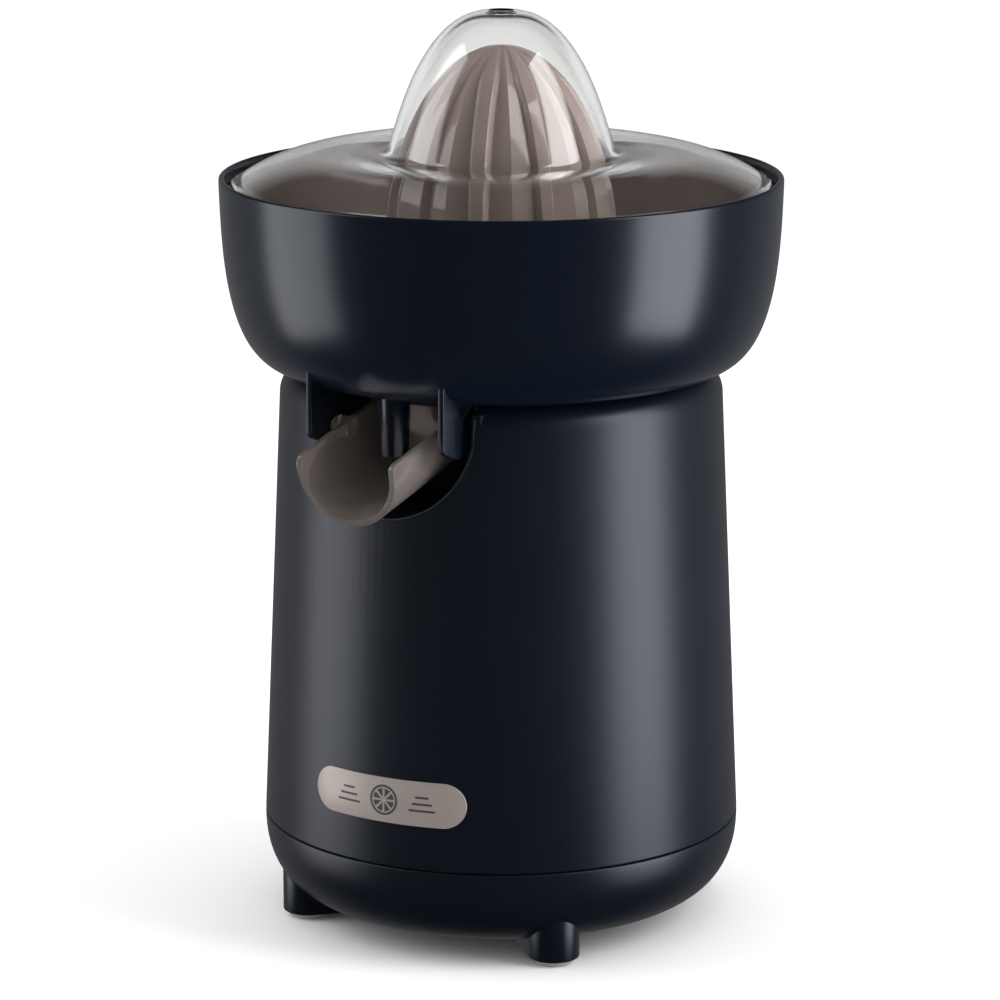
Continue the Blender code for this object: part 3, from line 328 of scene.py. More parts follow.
def piece(name, bm, look, sharp=32.0):
    """Make an object of a bmesh, smooth but for its sharp edges."""
    mesh = bpy.data.meshes.new(name)
    bm.to_mesh(mesh)
    bm.free()
    mesh.materials.append(look)
    mesh.shade_smooth()
    mesh.set_sharp_from_angle(angle=math.radians(sharp))
    made = bpy.data.objects.new(name, mesh)
    scene.collection.objects.link(made)
    return made


def carve(bm, tools, operation="DIFFERENCE"):
    """Cut closed tools out of a closed bmesh and give back the result as a bmesh."""
    block = piece("block", bm, laminate)
    cutters = [piece("cutter", tool, laminate) for tool in tools]
    for cutter in cutters:
        change = block.modifiers.new("cut", "BOOLEAN")
        change.operation = operation
        change.solver = "EXACT"
        change.object = cutter
    graph = bpy.context.evaluated_depsgraph_get()
    carved = bmesh.new()
    carved.from_object(block, graph)
    for spent in (block, *cutters):
        bpy.data.objects.remove(spent)
    return carved


# Satin navy ABS: a spark-eroded mould leaves a grain of 0.45 mm, which breaks up the gloss. The
# pigment is very even, with a slow drift in tone as the resin flowed.
GLOSS_SPREAD = 0.03


def satin_navy(name, roughness, grain_depth):
    """Navy ABS of a given roughness, with a grain of a given depth."""
    made, tree, shader = new_material(name)
    drift = texture(tree, "ShaderNodeTexNoise", 45, Detail=2.0)
    colour_by(tree, shader, drift.outputs["Fac"], "060C16", "08101B")
    grain = texture(tree, "ShaderNodeTexNoise", 0.45, Detail=2.0)
    gloss = add_node(tree, "ShaderNodeMapRange", [("Value", grain.outputs["Fac"])],
                     To_Min=roughness - GLOSS_SPREAD, To_Max=roughness + GLOSS_SPREAD)
    tree.links.new(shader.inputs["Roughness"], gloss.outputs["Result"])
    bump_by(tree, shader, grain.outputs["Fac"], 0.5, grain_depth)
    shader.inputs["IOR"].default_value = 1.54
    shader.inputs["Specular Tint"].default_value = (0.86, 0.90, 1.0, 1.0)
    return made


navy_body = satin_navy("satin_navy_abs", 0.36, 0.012)


def pan_side(inset, top):
    """The pan's rounded side from the seam down to its flat bottom, as (radius, height)."""
    reach = SEAM_RADIUS - PAN_FLAT_RADIUS - inset
    drop = top - PAN_BOTTOM - inset
    points = []
    for index in range(37):
        angle = math.radians(90 * index / 36)
        across = max(math.cos(angle), 0.0) ** (2 / PAN_FULLNESS)
        down = math.sin(angle) ** (2 / PAN_FULLNESS)
        points.append((PAN_FLAT_RADIUS + reach * across, top - drop * down))
    return points


def spot(index, circle, start):
    """Place of one of four things round the axis, in millimetres."""
    angle = math.radians(start + 90 * index)
    return circle * math.cos(angle), circle * math.sin(angle)


pan_top = SEAM_HEIGHT - SEAM_GAP / 2
pan_out = pan_side(0.0, pan_top)
pan_in = pan_side(PAN_WALL, pan_top)
pan_rim = eased([(pan_in[0][0], pan_top - 2), (pan_in[0][0], pan_top, EDGE),
                 (pan_out[0][0], pan_top, EDGE * 1.4), (pan_out[1][0], pan_top - 2)])
pan = spun([*[p for p in pan_out if p[1] < pan_top - 1.2],
            (0.0, PAN_BOTTOM), (0.0, PAN_BOTTOM + PAN_WALL),
            *reversed([p for p in pan_in if p[1] < pan_top - 1.2]), *pan_rim[1:-1]])
near, far = VENT_SPAN
vent_line = [(near, -VENT_HALF_WIDTH), (far, -VENT_HALF_WIDTH),
             (far, VENT_HALF_WIDTH), (near, VENT_HALF_WIDTH)]
vents = [turn(slab(vent_line, PAN_BOTTOM - 1, PAN_BOTTOM + 4), 30 + 60 * index)
         for index in range(6)]
well_line = [(WELL_RADIUS, -1.0), (WELL_RADIUS, WELL_TOP), (0.0, WELL_TOP), (0.0, -1.0)]
wells = [spun(well_line, True, 32, spot(index, SCREW_CIRCLE, SCREW_START)) for index in range(4)]
pan = carve(pan, [*vents, *wells])
post_end = FOOT_CIRCLE - FOOT_REACH
post_line = [*arc((FOOT_CIRCLE, 0), (FOOT_RADIUS, FOOT_RADIUS), -90, 90, 24),
             *arc((post_end, 0), (FOOT_RADIUS, FOOT_RADIUS), 90, 270, 24)]
posts = []
for index in range(4):
    post = soften(slab(post_line, FOOT_BOTTOM, PAN_BOTTOM + POST_OVERLAP), 0.6, 60)
    post = turn(post, 45 + 90 * index)
    seat = spun([(SEAT_RADIUS, 0.5), (SEAT_RADIUS, SEAT_TOP), (0.0, SEAT_TOP), (0.0, 0.5)],
                True, 40, spot(index, FOOT_CIRCLE, 45))
    posts.append(carve(post, [seat]))
base_shell = piece("base_shell", gather([pan, *posts]), navy_body)
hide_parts("base_pan")
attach(base_shell, "base")

# ---- Foot pads -----------------------------------------------------------------------------
# Pale grey rubber discs pressed into seats under the posts. They show as a thin light line
# between the posts and the table.
PAD_RADIUS = 6.5
PAD_TOP = 2.7
PAD_HOLLOW = 0.35              # depth of the groove in its sole

# Moulded rubber: dull, with a fine matt grain of about 0.3 mm.
rubber, tree, shader = new_material("grey_moulded_rubber")
grain = texture(tree, "ShaderNodeTexNoise", 0.3)
colour_by(tree, shader, grain.outputs["Fac"], "8E8F92", "A6A7AA")
bump_by(tree, shader, grain.outputs["Fac"], 0.4, 0.03)
shader.inputs["Roughness"].default_value = 0.75
pads = []
for index in range(4):
    pad_line = eased([(0.0, PAD_TOP), (PAD_RADIUS, PAD_TOP, 0.3), (PAD_RADIUS, 0.0, 0.6),
                      (PAD_RADIUS - 1.6, 0.0, 0.2), (PAD_RADIUS - 1.9, PAD_HOLLOW, 0.2),
                      (PAD_RADIUS - 2.4, PAD_HOLLOW, 0.2), (PAD_RADIUS - 2.7, 0.0, 0.2), (0.0, 0.0)])
    pads.append(spun(pad_line, False, 64, spot(index, FOOT_CIRCLE, 45)))
foot_pads = piece("foot_pads", gather(pads), rubber)
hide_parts("foot_pad_1", "foot_pad_2", "foot_pad_3", "foot_pad_4")
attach(foot_pads, "base")

# ---- Housing -------------------------------------------------------------------------------
# One tapered navy moulding with a rounded shoulder, a hub for the shaft's bush on top, and a
# U-shaped pocket in front for the spout. The pocket's mouth ends in a small rounded bead.
SHOULDER_HEIGHT = 185.7
SHOULDER_RADIUS = 73.3
SHOULDER_FILLET = 9.0
HOUSING_WALL = 2.5
HUB_RADIUS = 9.5
HUB_RISE = 8.5
HUB_BORE = 7.5
NOTCH_RADIUS = 28.4
NOTCH_BOTTOM = 148.0
NOTCH_BACK = 37.0
BEAD_RADIUS = 0.7
MOUTH_TOP = 182.0              # where the bead round the pocket's mouth ends
PAST_FRONT = 120.0             # reach of a cut that passes through the front wall
GLAND_HEIGHT = 52.0
GLAND_HOLE = 6.0
WALL_SLOPE = (SEAM_RADIUS - SHOULDER_RADIUS) / (SHOULDER_HEIGHT - SHOULDER_FILLET - SEAM_HEIGHT)


def side_radius(height):
    """The housing's outer radius at a height."""
    return SEAM_RADIUS - WALL_SLOPE * (height - SEAM_HEIGHT)


def notch_line(radius, bottom, top):
    """The pocket's U as (x, height), from its upper right end round to its upper left."""
    return [(radius, top), *arc((0.0, bottom + radius), (radius, radius), 0, -180, 64), (-radius, top)]


def forward(bm):
    """Turn a body that was extruded upwards so that it was extruded towards the front."""
    return turn(bm, 90, "X")


low = SEAM_HEIGHT + SEAM_GAP / 2
hub_top = SHOULDER_HEIGHT + HUB_RISE
corner = (SHOULDER_RADIUS - SHOULDER_FILLET, SHOULDER_HEIGHT - SHOULDER_FILLET)
shoulder = arc(corner, (SHOULDER_FILLET, SHOULDER_FILLET), 90, 0, 20)
foot_line = eased([shoulder[-1], (side_radius(low), low, EDGE * 1.4),
                   (side_radius(low) - HOUSING_WALL, low)])
ceiling = SHOULDER_HEIGHT - HOUSING_WALL
under = arc((corner[0], ceiling - SHOULDER_FILLET + HOUSING_WALL),
            (SHOULDER_FILLET - HOUSING_WALL,) * 2, 0, 90, 12)
hub_line = eased([(HUB_BORE, hub_top), (HUB_RADIUS, hub_top, 0.8),
                  (HUB_RADIUS, SHOULDER_HEIGHT, 0.8), (HUB_RADIUS + 6, SHOULDER_HEIGHT)])
housing_skin = [(HUB_BORE, hub_top), *hub_line[1:], *shoulder, *foot_line[1:],
                *under, (HUB_RADIUS, ceiling), (HUB_BORE, ceiling)]
pocket_line = notch_line(NOTCH_RADIUS, NOTCH_BOTTOM, hub_top + 20)
pocket = forward(slab(pocket_line, NOTCH_BACK, PAST_FRONT))
gland_line = arc((0.0, GLAND_HEIGHT), (GLAND_HOLE, GLAND_HOLE), 0, 360, 48)[:-1]
gland_hole = forward(slab(gland_line, -90.0, -70.0))
body = carve(spun(housing_skin), [pocket, gland_hole])
lining_line = notch_line(NOTCH_RADIUS + HOUSING_WALL, NOTCH_BOTTOM - HOUSING_WALL, ceiling)
lining = forward(slab(lining_line, NOTCH_BACK - HOUSING_WALL, SEAM_RADIUS + 10))
trim = spun([(0.0, ceiling + 1), (side_radius(ceiling) - 0.4, ceiling + 1),
             (side_radius(100) - 0.4, 100), (0.0, 100)])
pocket = forward(slab(pocket_line, NOTCH_BACK, PAST_FRONT))
lining = carve(carve(lining, [trim], "INTERSECT"), [pocket])


def bead_along(route, radius, sides=10):
    """A round bead whose middle follows a list of points, in millimetres, with closed ends."""
    bm = bmesh.new()
    rings = []
    for index, point in enumerate(route):
        ahead = Vector(route[min(index + 1, len(route) - 1)])
        along = (ahead - Vector(route[max(index - 1, 0)])).normalized()
        facing_on = along.to_track_quat("Z", "Y").to_matrix().to_4x4()
        stand = Matrix.Translation(Vector(point) * MM) @ facing_on
        made = bmesh.ops.create_circle(bm, cap_ends=index in (0, len(route) - 1), segments=sides,
                                       radius=radius * MM, matrix=stand)
        rings.append({edge for vert in made["verts"] for edge in vert.link_edges})
    for first, second in zip(rings, rings[1:]):
        bmesh.ops.bridge_loops(bm, edges=[*first, *second])
    bmesh.ops.recalc_face_normals(bm, faces=bm.faces)
    return bm


mouth = []
bead_out = BEAD_RADIUS * 0.55
for x, height in notch_line(NOTCH_RADIUS + bead_out, NOTCH_BOTTOM - bead_out, MOUTH_TOP):
    radius = side_radius(height) - BEAD_RADIUS * 0.8
    mouth.append((x, -math.sqrt(radius ** 2 - x ** 2), height))
housing_shell = piece("housing_shell", gather([body, lining, bead_along(mouth, BEAD_RADIUS)]),
                      navy_body)
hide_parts("housing")
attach(housing_shell, "base")

# ---- Cord gland ----------------------------------------------------------------------------
# A black rubber ring with two flanges, snapped into the rear wall where a supply cord leaves.
gland_face = side_radius(GLAND_HEIGHT)
GLAND_LIP = 7.6
GLAND_BORE = 3.2
GLAND_NECK = GLAND_HOLE - 0.3
GLAND_BACK = -3.7              # faces along its axis, from the outer wall
GLAND_FRONT = 2.0
ring_line = eased([(GLAND_BORE, GLAND_BACK), (GLAND_LIP, GLAND_BACK, 0.5), (GLAND_LIP, -2.5, 0.3),
                   (GLAND_NECK, -2.5), (GLAND_NECK, 0.8), (GLAND_LIP, 0.8, 0.4),
                   (GLAND_LIP, GLAND_FRONT, 0.8), (GLAND_BORE + 1.2, GLAND_FRONT, 0.6),
                   (GLAND_BORE, 1.2)])

# Black nylon and rubber mouldings: dull black with a fine grain of about 0.4 mm.
black, tree, shader = new_material("black_moulded_nylon")
grain = texture(tree, "ShaderNodeTexNoise", 0.4)
colour_by(tree, shader, grain.outputs["Fac"], "141414", "1F1F20")
bump_by(tree, shader, grain.outputs["Fac"], 0.4, 0.02)
shader.inputs["Roughness"].default_value = 0.55
ring = turn(spun(ring_line, True, 64), -90, "X")
bmesh.ops.translate(ring, verts=ring.verts, vec=(0.0, gland_face * MM, GLAND_HEIGHT * MM))
gland_ring = piece("gland_ring", ring, black)
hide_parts("cord_gland")
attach(gland_ring, "base")

# ---- Badge ---------------------------------------------------------------------------------
# A thin pill-shaped plate of champagne anodised aluminium, brushed along its length, bent to
# the housing and glued into a shallow seat. A plain citrus slice is printed on it in dark grey.
BADGE_LENGTH = 55.6
BADGE_WIDTH = 14.8
BADGE_HEIGHT = 56.2
BADGE_PROUD = 0.4
BADGE_DEPTH = 0.8
BADGE_TURN = 1.6               # degrees round towards +X
BEND_STEP = 1.5                # spacing of the cuts that let a flat body bend
SLICE_RADIUS = 5.0
SLICE_SEGMENTS = 8
PEEL_WIDTH = 0.7
WEDGE_TIP = 0.9
WEDGE_MARGIN = 1.2
WEDGE_SHARE = 0.36             # half a wedge's share of its sector
STRIPE_LENGTH = 9.0
STRIPE_WIDTH = 0.7
STRIPE_STEP = 2.2
STRIPE_OFFSET = 13.5
PRINT_PROUD = 0.05
PRINT_DEPTH = 0.3


def pill(length, width, steps=24):
    """Outline of a bar with round ends."""
    radius = width / 2
    reach = length / 2 - radius
    return [*arc((reach, 0.0), (radius, radius), -90, 90, steps),
            *arc((-reach, 0.0), (radius, radius), 90, 270, steps)]


def bend_to_housing(bm, proud):
    """Lay a flat body, drawn in x and y with its face up, against the front of the housing."""
    low, high = (edge(v.co.x for v in bm.verts) for edge in (min, max))
    for step in range(1, int((high - low) / (BEND_STEP * MM))):
        cut_at = (low + step * BEND_STEP * MM, 0.0, 0.0)
        bmesh.ops.bisect_plane(bm, geom=[*bm.verts, *bm.edges, *bm.faces], dist=0.0000001,
                               plane_co=cut_at, plane_no=(1, 0, 0))
    for vert in bm.verts:
        x, up, out = vert.co
        radius = side_radius(BADGE_HEIGHT + up / MM) * MM + proud * MM + out
        vert.co = (x, -math.sqrt(radius ** 2 - x ** 2), BADGE_HEIGHT * MM + up)
    bmesh.ops.recalc_face_normals(bm, faces=bm.faces)
    return turn(bm, BADGE_TURN)


# Champagne anodised aluminium: fine lengthwise brushing every 0.25 mm or so, under a satin oxide.
champagne, tree, shader = new_material("champagne_anodised_aluminium")
place = add_node(tree, "ShaderNodeTexCoord")
stretch = add_node(tree, "ShaderNodeMapping", [("Vector", place.outputs["Object"])])
stretch.inputs["Scale"].default_value = (0.03, 0.03, 1.0)
brush = add_node(tree, "ShaderNodeTexNoise", [("Vector", stretch.outputs["Vector"])],
                 Scale=1 / (0.25 * MM), Detail=3.0)
colour_by(tree, shader, brush.outputs["Fac"], "8F8581", "A69B96")
bump_by(tree, shader, brush.outputs["Fac"], 0.25, 0.02)
shader.inputs["Metallic"].default_value = 0.35
shader.inputs["Roughness"].default_value = 0.38
plate = soften(slab(pill(BADGE_LENGTH, BADGE_WIDTH), -BADGE_DEPTH, 0.0), 0.18, 60, 2)
badge_plate = piece("badge_plate", bend_to_housing(plate, BADGE_PROUD), champagne)
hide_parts("badge")
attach(badge_plate, "base")

# Pad-printed ink: flat dark grey, a little duller than the metal, with pinholes under 0.2 mm.
ink, tree, shader = new_material("dark_printing_ink")
grain = texture(tree, "ShaderNodeTexNoise", 0.2)
colour_by(tree, shader, grain.outputs["Fac"], "2E3036", "3A3C42")
shader.inputs["Roughness"].default_value = 0.5


def slice_print():
    """A round citrus slice: a ring of peel and wedges in it."""
    within = SLICE_RADIUS - PEEL_WIDTH
    parts = [spun([(SLICE_RADIUS, 0.0), (SLICE_RADIUS, -PRINT_DEPTH),
                   (within, -PRINT_DEPTH), (within, 0.0)], True, 64)]
    sector = 360 / SLICE_SEGMENTS
    half = sector * WEDGE_SHARE
    reach = SLICE_RADIUS - WEDGE_MARGIN
    wedge = [(WEDGE_TIP, 0.0), *arc((0.0, 0.0), (reach, reach), -half, half, 6)]
    for index in range(SLICE_SEGMENTS):
        parts.append(turn(slab(wedge, -PRINT_DEPTH, 0.0), sector * (index + 0.5)))
    return parts


stripes = []
for side in (-1, 1):
    for index in range(3):
        bar = slab(pill(STRIPE_LENGTH - STRIPE_STEP * index, STRIPE_WIDTH, 6), -PRINT_DEPTH, 0.0)
        bmesh.ops.translate(bar, verts=bar.verts,
                            vec=(side * STRIPE_OFFSET * MM, (index - 1) * STRIPE_STEP * MM, 0.0))
        stripes.append(bar)
printed = bend_to_housing(gather([*slice_print(), *stripes]), BADGE_PROUD + PRINT_PROUD)
badge_print = piece("badge_print", printed, ink)
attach(badge_print, "base")

# ---- Bowl ----------------------------------------------------------------------------------
# The wide navy bowl is one moulding: a thin turned shell with a chimney for the spindle in the
# middle, and below it an outlet tube and two cheeks that carry the spout's pivot pins.
# It lifts off the housing. Its mould is finer than the housing's, so it is a little glossier.
RIM_RADIUS = 92.5
RIM_HEIGHT = 248.5
BOWL_WALL = 2.0
BOWL_DRAFT = 0.03              # lost radius per unit of depth
BOWL_FULLNESS = 2.95           # exponent of the side's rounded outline
BOWL_FLAT_RADIUS = 66.0
BOWL_BOTTOM = SHOULDER_HEIGHT + SEAM_GAP
CHIMNEY_BORE = 10.3
CHIMNEY_RISE = 19.0
CHIMNEY_WALL = 2.2
SEAL_LEDGE = 6.0               # depth below the chimney's top of a ledge for the seal
SEAL_STEP = 2.0
SEAL_REACH = 1.7
OUTLET_OFFSET = 67.0
OUTLET_RADIUS = 4.5
OUTLET_BORE = 3.2
OUTLET_DROP = 18.7
PIVOT = (0.0, -66.0, 174.5)
SPOUT_RADIUS = 18.0
CHEEK_GAP = 5.5
CHEEK_THICKNESS = 2.0
CHEEK_FRONT = 13.5
CHEEK_BACK = 6.0
CHEEK_SEAT = 1.2
CHEEK_DROP = 5.6
CHEEK_RISE = 11.0
PIN_RADIUS = 2.0

navy_bowl = satin_navy("fine_satin_navy_abs", 0.24, 0.006)


def bowl_side(inset, top, bottom):
    """The bowl's side from near its rim down to its flat bottom, moved inwards by an inset."""
    points = []
    for index in range(49):
        angle = math.radians(90 * index / 48)
        across = max(math.cos(angle), 0.0) ** (2 / BOWL_FULLNESS)
        drop = (top - bottom) * math.sin(angle) ** (2 / BOWL_FULLNESS)
        reach = RIM_RADIUS - inset - BOWL_FLAT_RADIUS - BOWL_DRAFT * drop
        points.append((BOWL_FLAT_RADIUS + reach * across, top - drop))
    return points


floor = BOWL_BOTTOM + BOWL_WALL
chimney_top = BOWL_BOTTOM + CHIMNEY_RISE
chimney_out = CHIMNEY_BORE + CHIMNEY_WALL
ledge = chimney_top - SEAL_LEDGE
chimney = eased([(BOWL_FLAT_RADIUS, floor), (chimney_out, floor, 1.2), (chimney_out, chimney_top, 0.6),
                 (CHIMNEY_BORE, chimney_top, 0.6), (CHIMNEY_BORE, ledge),
                 (CHIMNEY_BORE - SEAL_REACH, ledge), (CHIMNEY_BORE - SEAL_REACH, ledge - SEAL_STEP),
                 (CHIMNEY_BORE, ledge - SEAL_STEP), (CHIMNEY_BORE, BOWL_BOTTOM, 0.4),
                 (CHIMNEY_BORE + 3, BOWL_BOTTOM)])
lip = eased([(RIM_RADIUS - BOWL_WALL, RIM_HEIGHT - 2), (RIM_RADIUS - BOWL_WALL, RIM_HEIGHT, 0.8),
             (RIM_RADIUS, RIM_HEIGHT, 1.0), (RIM_RADIUS, RIM_HEIGHT - 2)], 6)
shell = spun([*bowl_side(0.0, RIM_HEIGHT - 2, BOWL_BOTTOM), *reversed(chimney[1:]),
              *reversed(bowl_side(BOWL_WALL, RIM_HEIGHT - 2, floor)), *lip[1:-1]], True, 192)
outlet = (0.0, -OUTLET_OFFSET)
tube_end = BOWL_BOTTOM - OUTLET_DROP
drain = spun([(OUTLET_BORE, floor + 2), (0.0, floor + 2), (0.0, BOWL_BOTTOM - 3),
              (OUTLET_BORE, BOWL_BOTTOM - 3)], True, 40, outlet)
shell = carve(shell, [drain])
tube = spun(eased([(OUTLET_BORE, floor - 0.2), (OUTLET_RADIUS + 0.6, floor - 0.2),
                   (OUTLET_RADIUS + 0.5, BOWL_BOTTOM - 1.5), (OUTLET_RADIUS, tube_end, 0.5),
                   (OUTLET_BORE, tube_end, 0.4), (OUTLET_BORE, tube_end + 3)]), True, 64, outlet)


def cheek(side):
    """One flat ear under the bowl with a blind seat for a pivot pin, and a small web beside it."""
    line = eased([(-CHEEK_FRONT, BOWL_BOTTOM + CHEEK_RISE),
                  (-CHEEK_FRONT, PIVOT[2] - CHEEK_DROP * 0.3, 1.5),
                  (-CHEEK_FRONT * 0.3, PIVOT[2] - CHEEK_DROP, 3.0),
                  (CHEEK_BACK, PIVOT[2] - CHEEK_DROP * 0.6, 2.0), (CHEEK_BACK, BOWL_BOTTOM + 1)])
    near = SPOUT_RADIUS + CHEEK_GAP
    ear = slab([(y + PIVOT[1], height) for y, height in line], near, near + CHEEK_THICKNESS)
    soften(ear, 0.35, 50)
    seat = spun([(PIN_RADIUS + 0.25, near + CHEEK_SEAT), (PIN_RADIUS + 0.25, near - 1), (0.0, near - 1),
                 (0.0, near + CHEEK_SEAT)], True, 32, (PIVOT[1], PIVOT[2]))
    web_line = [(near + 0.5, BOWL_BOTTOM + 2), (near + 6.5, BOWL_BOTTOM + 2),
                (near + 1.2, BOWL_BOTTOM - 5.5), (near + 0.5, BOWL_BOTTOM - 5.5)]
    web = soften(slab(web_line, PIVOT[1] - 3.0, PIVOT[1] - 1.4), 0.3, 50)
    for bm in (ear, seat):
        bmesh.ops.transform(bm, verts=bm.verts, matrix=Matrix(((0, 0, 1), (1, 0, 0), (0, 1, 0))))
    for vert in web.verts:
        vert.co = (vert.co.x, vert.co.z, vert.co.y)
    bmesh.ops.recalc_face_normals(web, faces=web.faces)
    both = gather([carve(ear, [seat]), web])
    if side < 0:
        bmesh.ops.scale(both, vec=(-1.0, 1.0, 1.0), verts=both.verts)
        bmesh.ops.reverse_faces(both, faces=both.faces)
    return both


bowl_shell = piece("bowl_shell", gather([shell, tube, cheek(1), cheek(-1)]), navy_bowl)
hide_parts("juice_bowl")
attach(bowl_shell, "bowl")

# ---- Spindle -------------------------------------------------------------------------------
# White acetal: a hollow stem in the bowl's chimney, a drip cap over it, and a six-sided post
# that drives the cone. It shows only when the cone is lifted off.
CAP_LOW = BOWL_BOTTOM + CHIMNEY_RISE + 3.4
CAP_TOP = CAP_LOW + 2.6
CAP_RADIUS = 17.0
POST_RADIUS = 9.0
POST_TOP = CAP_TOP + 27.0
STEM_RADIUS = 7.5
CAP_SKIRT = 9.0                # depth of the cap's skirt round the chimney
CAP_WALL = 2.0
STEM_BORE = 5.0
STEM_LOW = SHOULDER_HEIGHT + HUB_RISE + 3.9

# Natural acetal: milky white, satin, with faint flow clouds about 6 mm across.
acetal, tree, shader = new_material("natural_acetal")
cloud = texture(tree, "ShaderNodeTexNoise", 6)
colour_by(tree, shader, cloud.outputs["Fac"], "DAD8D0", "E6E4DD")
fine = texture(tree, "ShaderNodeTexNoise", 0.5)
bump_by(tree, shader, fine.outputs["Fac"], 0.3, 0.01)
shader.inputs["Roughness"].default_value = 0.38
stem = spun(eased([(0.0, CAP_TOP), (CAP_RADIUS, CAP_TOP, 1.5), (CAP_RADIUS, CAP_LOW - CAP_SKIRT, 0.4),
                   (CAP_RADIUS - CAP_WALL, CAP_LOW - CAP_SKIRT, 0.4),
                   (CAP_RADIUS - CAP_WALL, CAP_LOW, 0.5), (STEM_RADIUS, CAP_LOW, 0.5),
                   (STEM_RADIUS, STEM_LOW, 0.6), (STEM_BORE, STEM_LOW), (STEM_BORE, CAP_TOP - 1),
                   (0.0, CAP_TOP - 1)]), True, 72)
hexagon = arc((0.0, 0.0), (POST_RADIUS, POST_RADIUS), 0, 360, 6)[:-1]
post = soften(slab(hexagon, CAP_TOP - 0.5, POST_TOP), 0.5, 40)
spindle_moulding = piece("spindle_moulding", gather([stem, post]), acetal)
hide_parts("bowl_spindle")
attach(spindle_moulding, "spindle")

# ---- Strainer ------------------------------------------------------------------------------
# The smoky see-through basket fills the bowl: a rim that hangs inside the bowl's own, a deep
# curved side, a floor with radial slots for the juice, and a collar round the spindle's cap.
STRAINER_WALL = 2.0
STRAINER_TOP = RIM_HEIGHT - 4.4
STRAINER_FLOOR = RIM_HEIGHT - 44.0
STRAINER_SLOTS = 16
SLOT_SPAN = (30.0, 58.0)       # distances from the axis
SLOT_HALF_WIDTH = 1.1
BASIN_RADIUS = 62.0            # of the flat floor, before the side curves up
COLLAR = CAP_RADIUS + 1.5
COLLAR_TOP = CAP_TOP + 5.0


# Smoke-tinted SAN: hard, glossy and see-through, with a grey-brown dye that deepens in thick
# places. Faint flow lines about 12 mm apart are all that breaks the surface.
def smoked_san(name, thin, deep, clearness):
    """Smoky SAN between two tones, with a share of the light let through."""
    made, tree, shader = new_material(name)
    flow = texture(tree, "ShaderNodeTexNoise", 12)
    colour_by(tree, shader, flow.outputs["Fac"], deep, thin)
    bump_by(tree, shader, flow.outputs["Fac"], 0.15, 0.02)
    shader.inputs["Transmission Weight"].default_value = clearness
    shader.inputs["Roughness"].default_value = 0.08
    shader.inputs["IOR"].default_value = 1.57
    return made


# Painted shade: the insert takes a darker copy of the cone's smoky plastic, for the dark navy bowl seen
# through it and the shade inside the bowl.
shaded_smoky_insert = smoked_san("smoked_san_insert_painted_shade", "8A7B77", "7C6F6B", 0.12)
bowl_inside = RIM_RADIUS - BOWL_WALL
rim_out = bowl_inside - 0.5
curve_middle = (BASIN_RADIUS, STRAINER_FLOOR + 20)
basket_out = arc(curve_middle, (bowl_inside - BASIN_RADIUS - 5, 22), 0, -90, 24)
basket_in = arc(curve_middle, (bowl_inside - BASIN_RADIUS - 7, 20), -90, 0, 24)
basket_rim = eased([(rim_out - 4.6, STRAINER_TOP - 1.6), (rim_out - 3.4, STRAINER_TOP - 1.0, 1.0),
                    (rim_out - 2.2, STRAINER_TOP, 0.6), (rim_out, STRAINER_TOP, 0.5),
                    (rim_out, STRAINER_TOP - 3, 0.5), (rim_out - 3.5, STRAINER_TOP - 3.4, 0.8),
                    basket_out[0]])
collar_out = COLLAR + STRAINER_WALL
collar = eased([basket_out[-1], (COLLAR, STRAINER_FLOOR - 2, 0.5), (COLLAR, COLLAR_TOP, 0.6),
                (collar_out, COLLAR_TOP, 0.6), (collar_out, STRAINER_FLOOR, 1.5), basket_in[0]])
basket = spun([*basket_rim, *basket_out[1:], *collar[1:-1], *basket_in], True, 192)
near, far = SLOT_SPAN
slot_line = [(near, -SLOT_HALF_WIDTH), (far, -SLOT_HALF_WIDTH),
             (far, SLOT_HALF_WIDTH), (near, SLOT_HALF_WIDTH)]
slots = [turn(slab(slot_line, STRAINER_FLOOR - 4, STRAINER_FLOOR + 2), 360 * index / STRAINER_SLOTS)
         for index in range(STRAINER_SLOTS)]
strainer_basket = piece("strainer_basket", carve(basket, slots), shaded_smoky_insert)
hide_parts("strainer")
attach(strainer_basket, "strainer")

# ---- Cone ----------------------------------------------------------------------------------
# The ribbed reamer is moulded in the same smoky plastic. Ten narrow ribs with flat tops run from
# the skirt to the tip, and the faces between them are creased along the middle.
CONE_RADIUS = 38.3
CONE_HEIGHT = 68.5
CONE_BASE = RIM_HEIGHT - 26.0
CONE_RIBS = 10
RIB_HALF_WIDTH = 2.2
RIB_FLANK = 1.1
GROOVE = 2.6
CONE_WALL = GROOVE + 2.2
HOLLOW_ANGLE = 50              # degrees up the side to which the cone is hollow
CONE_LEVELS = 56
HALF_RIB = math.pi / CONE_RIBS
STEPS_PER_RIB = 12

smoky_cone = smoked_san("smoked_san_cone", "A3938E", "94857F", 0.08)


def rib_shape(step, radius):
    """Angle from a rib's middle and depth below its top, for one of twelve steps to the next rib."""
    half = min(RIB_HALF_WIDTH / max(radius, 0.1), HALF_RIB * 0.35)
    foot = min(half + RIB_FLANK / max(radius, 0.1), HALF_RIB * 0.55)
    angles = [0.0, half * 0.86, half, foot, foot + half * 0.2, (foot + HALF_RIB) / 2, HALF_RIB]
    depths = [0.0, 0.0, 0.12, 0.92, 1.0, 0.74, 0.40]
    depth = GROOVE * min(1.0, radius / CONE_RADIUS * 1.4)
    if step <= STEPS_PER_RIB // 2:
        return angles[step], depths[step] * depth
    mirrored = STEPS_PER_RIB - step
    return 2 * HALF_RIB - angles[mirrored], depths[mirrored] * depth


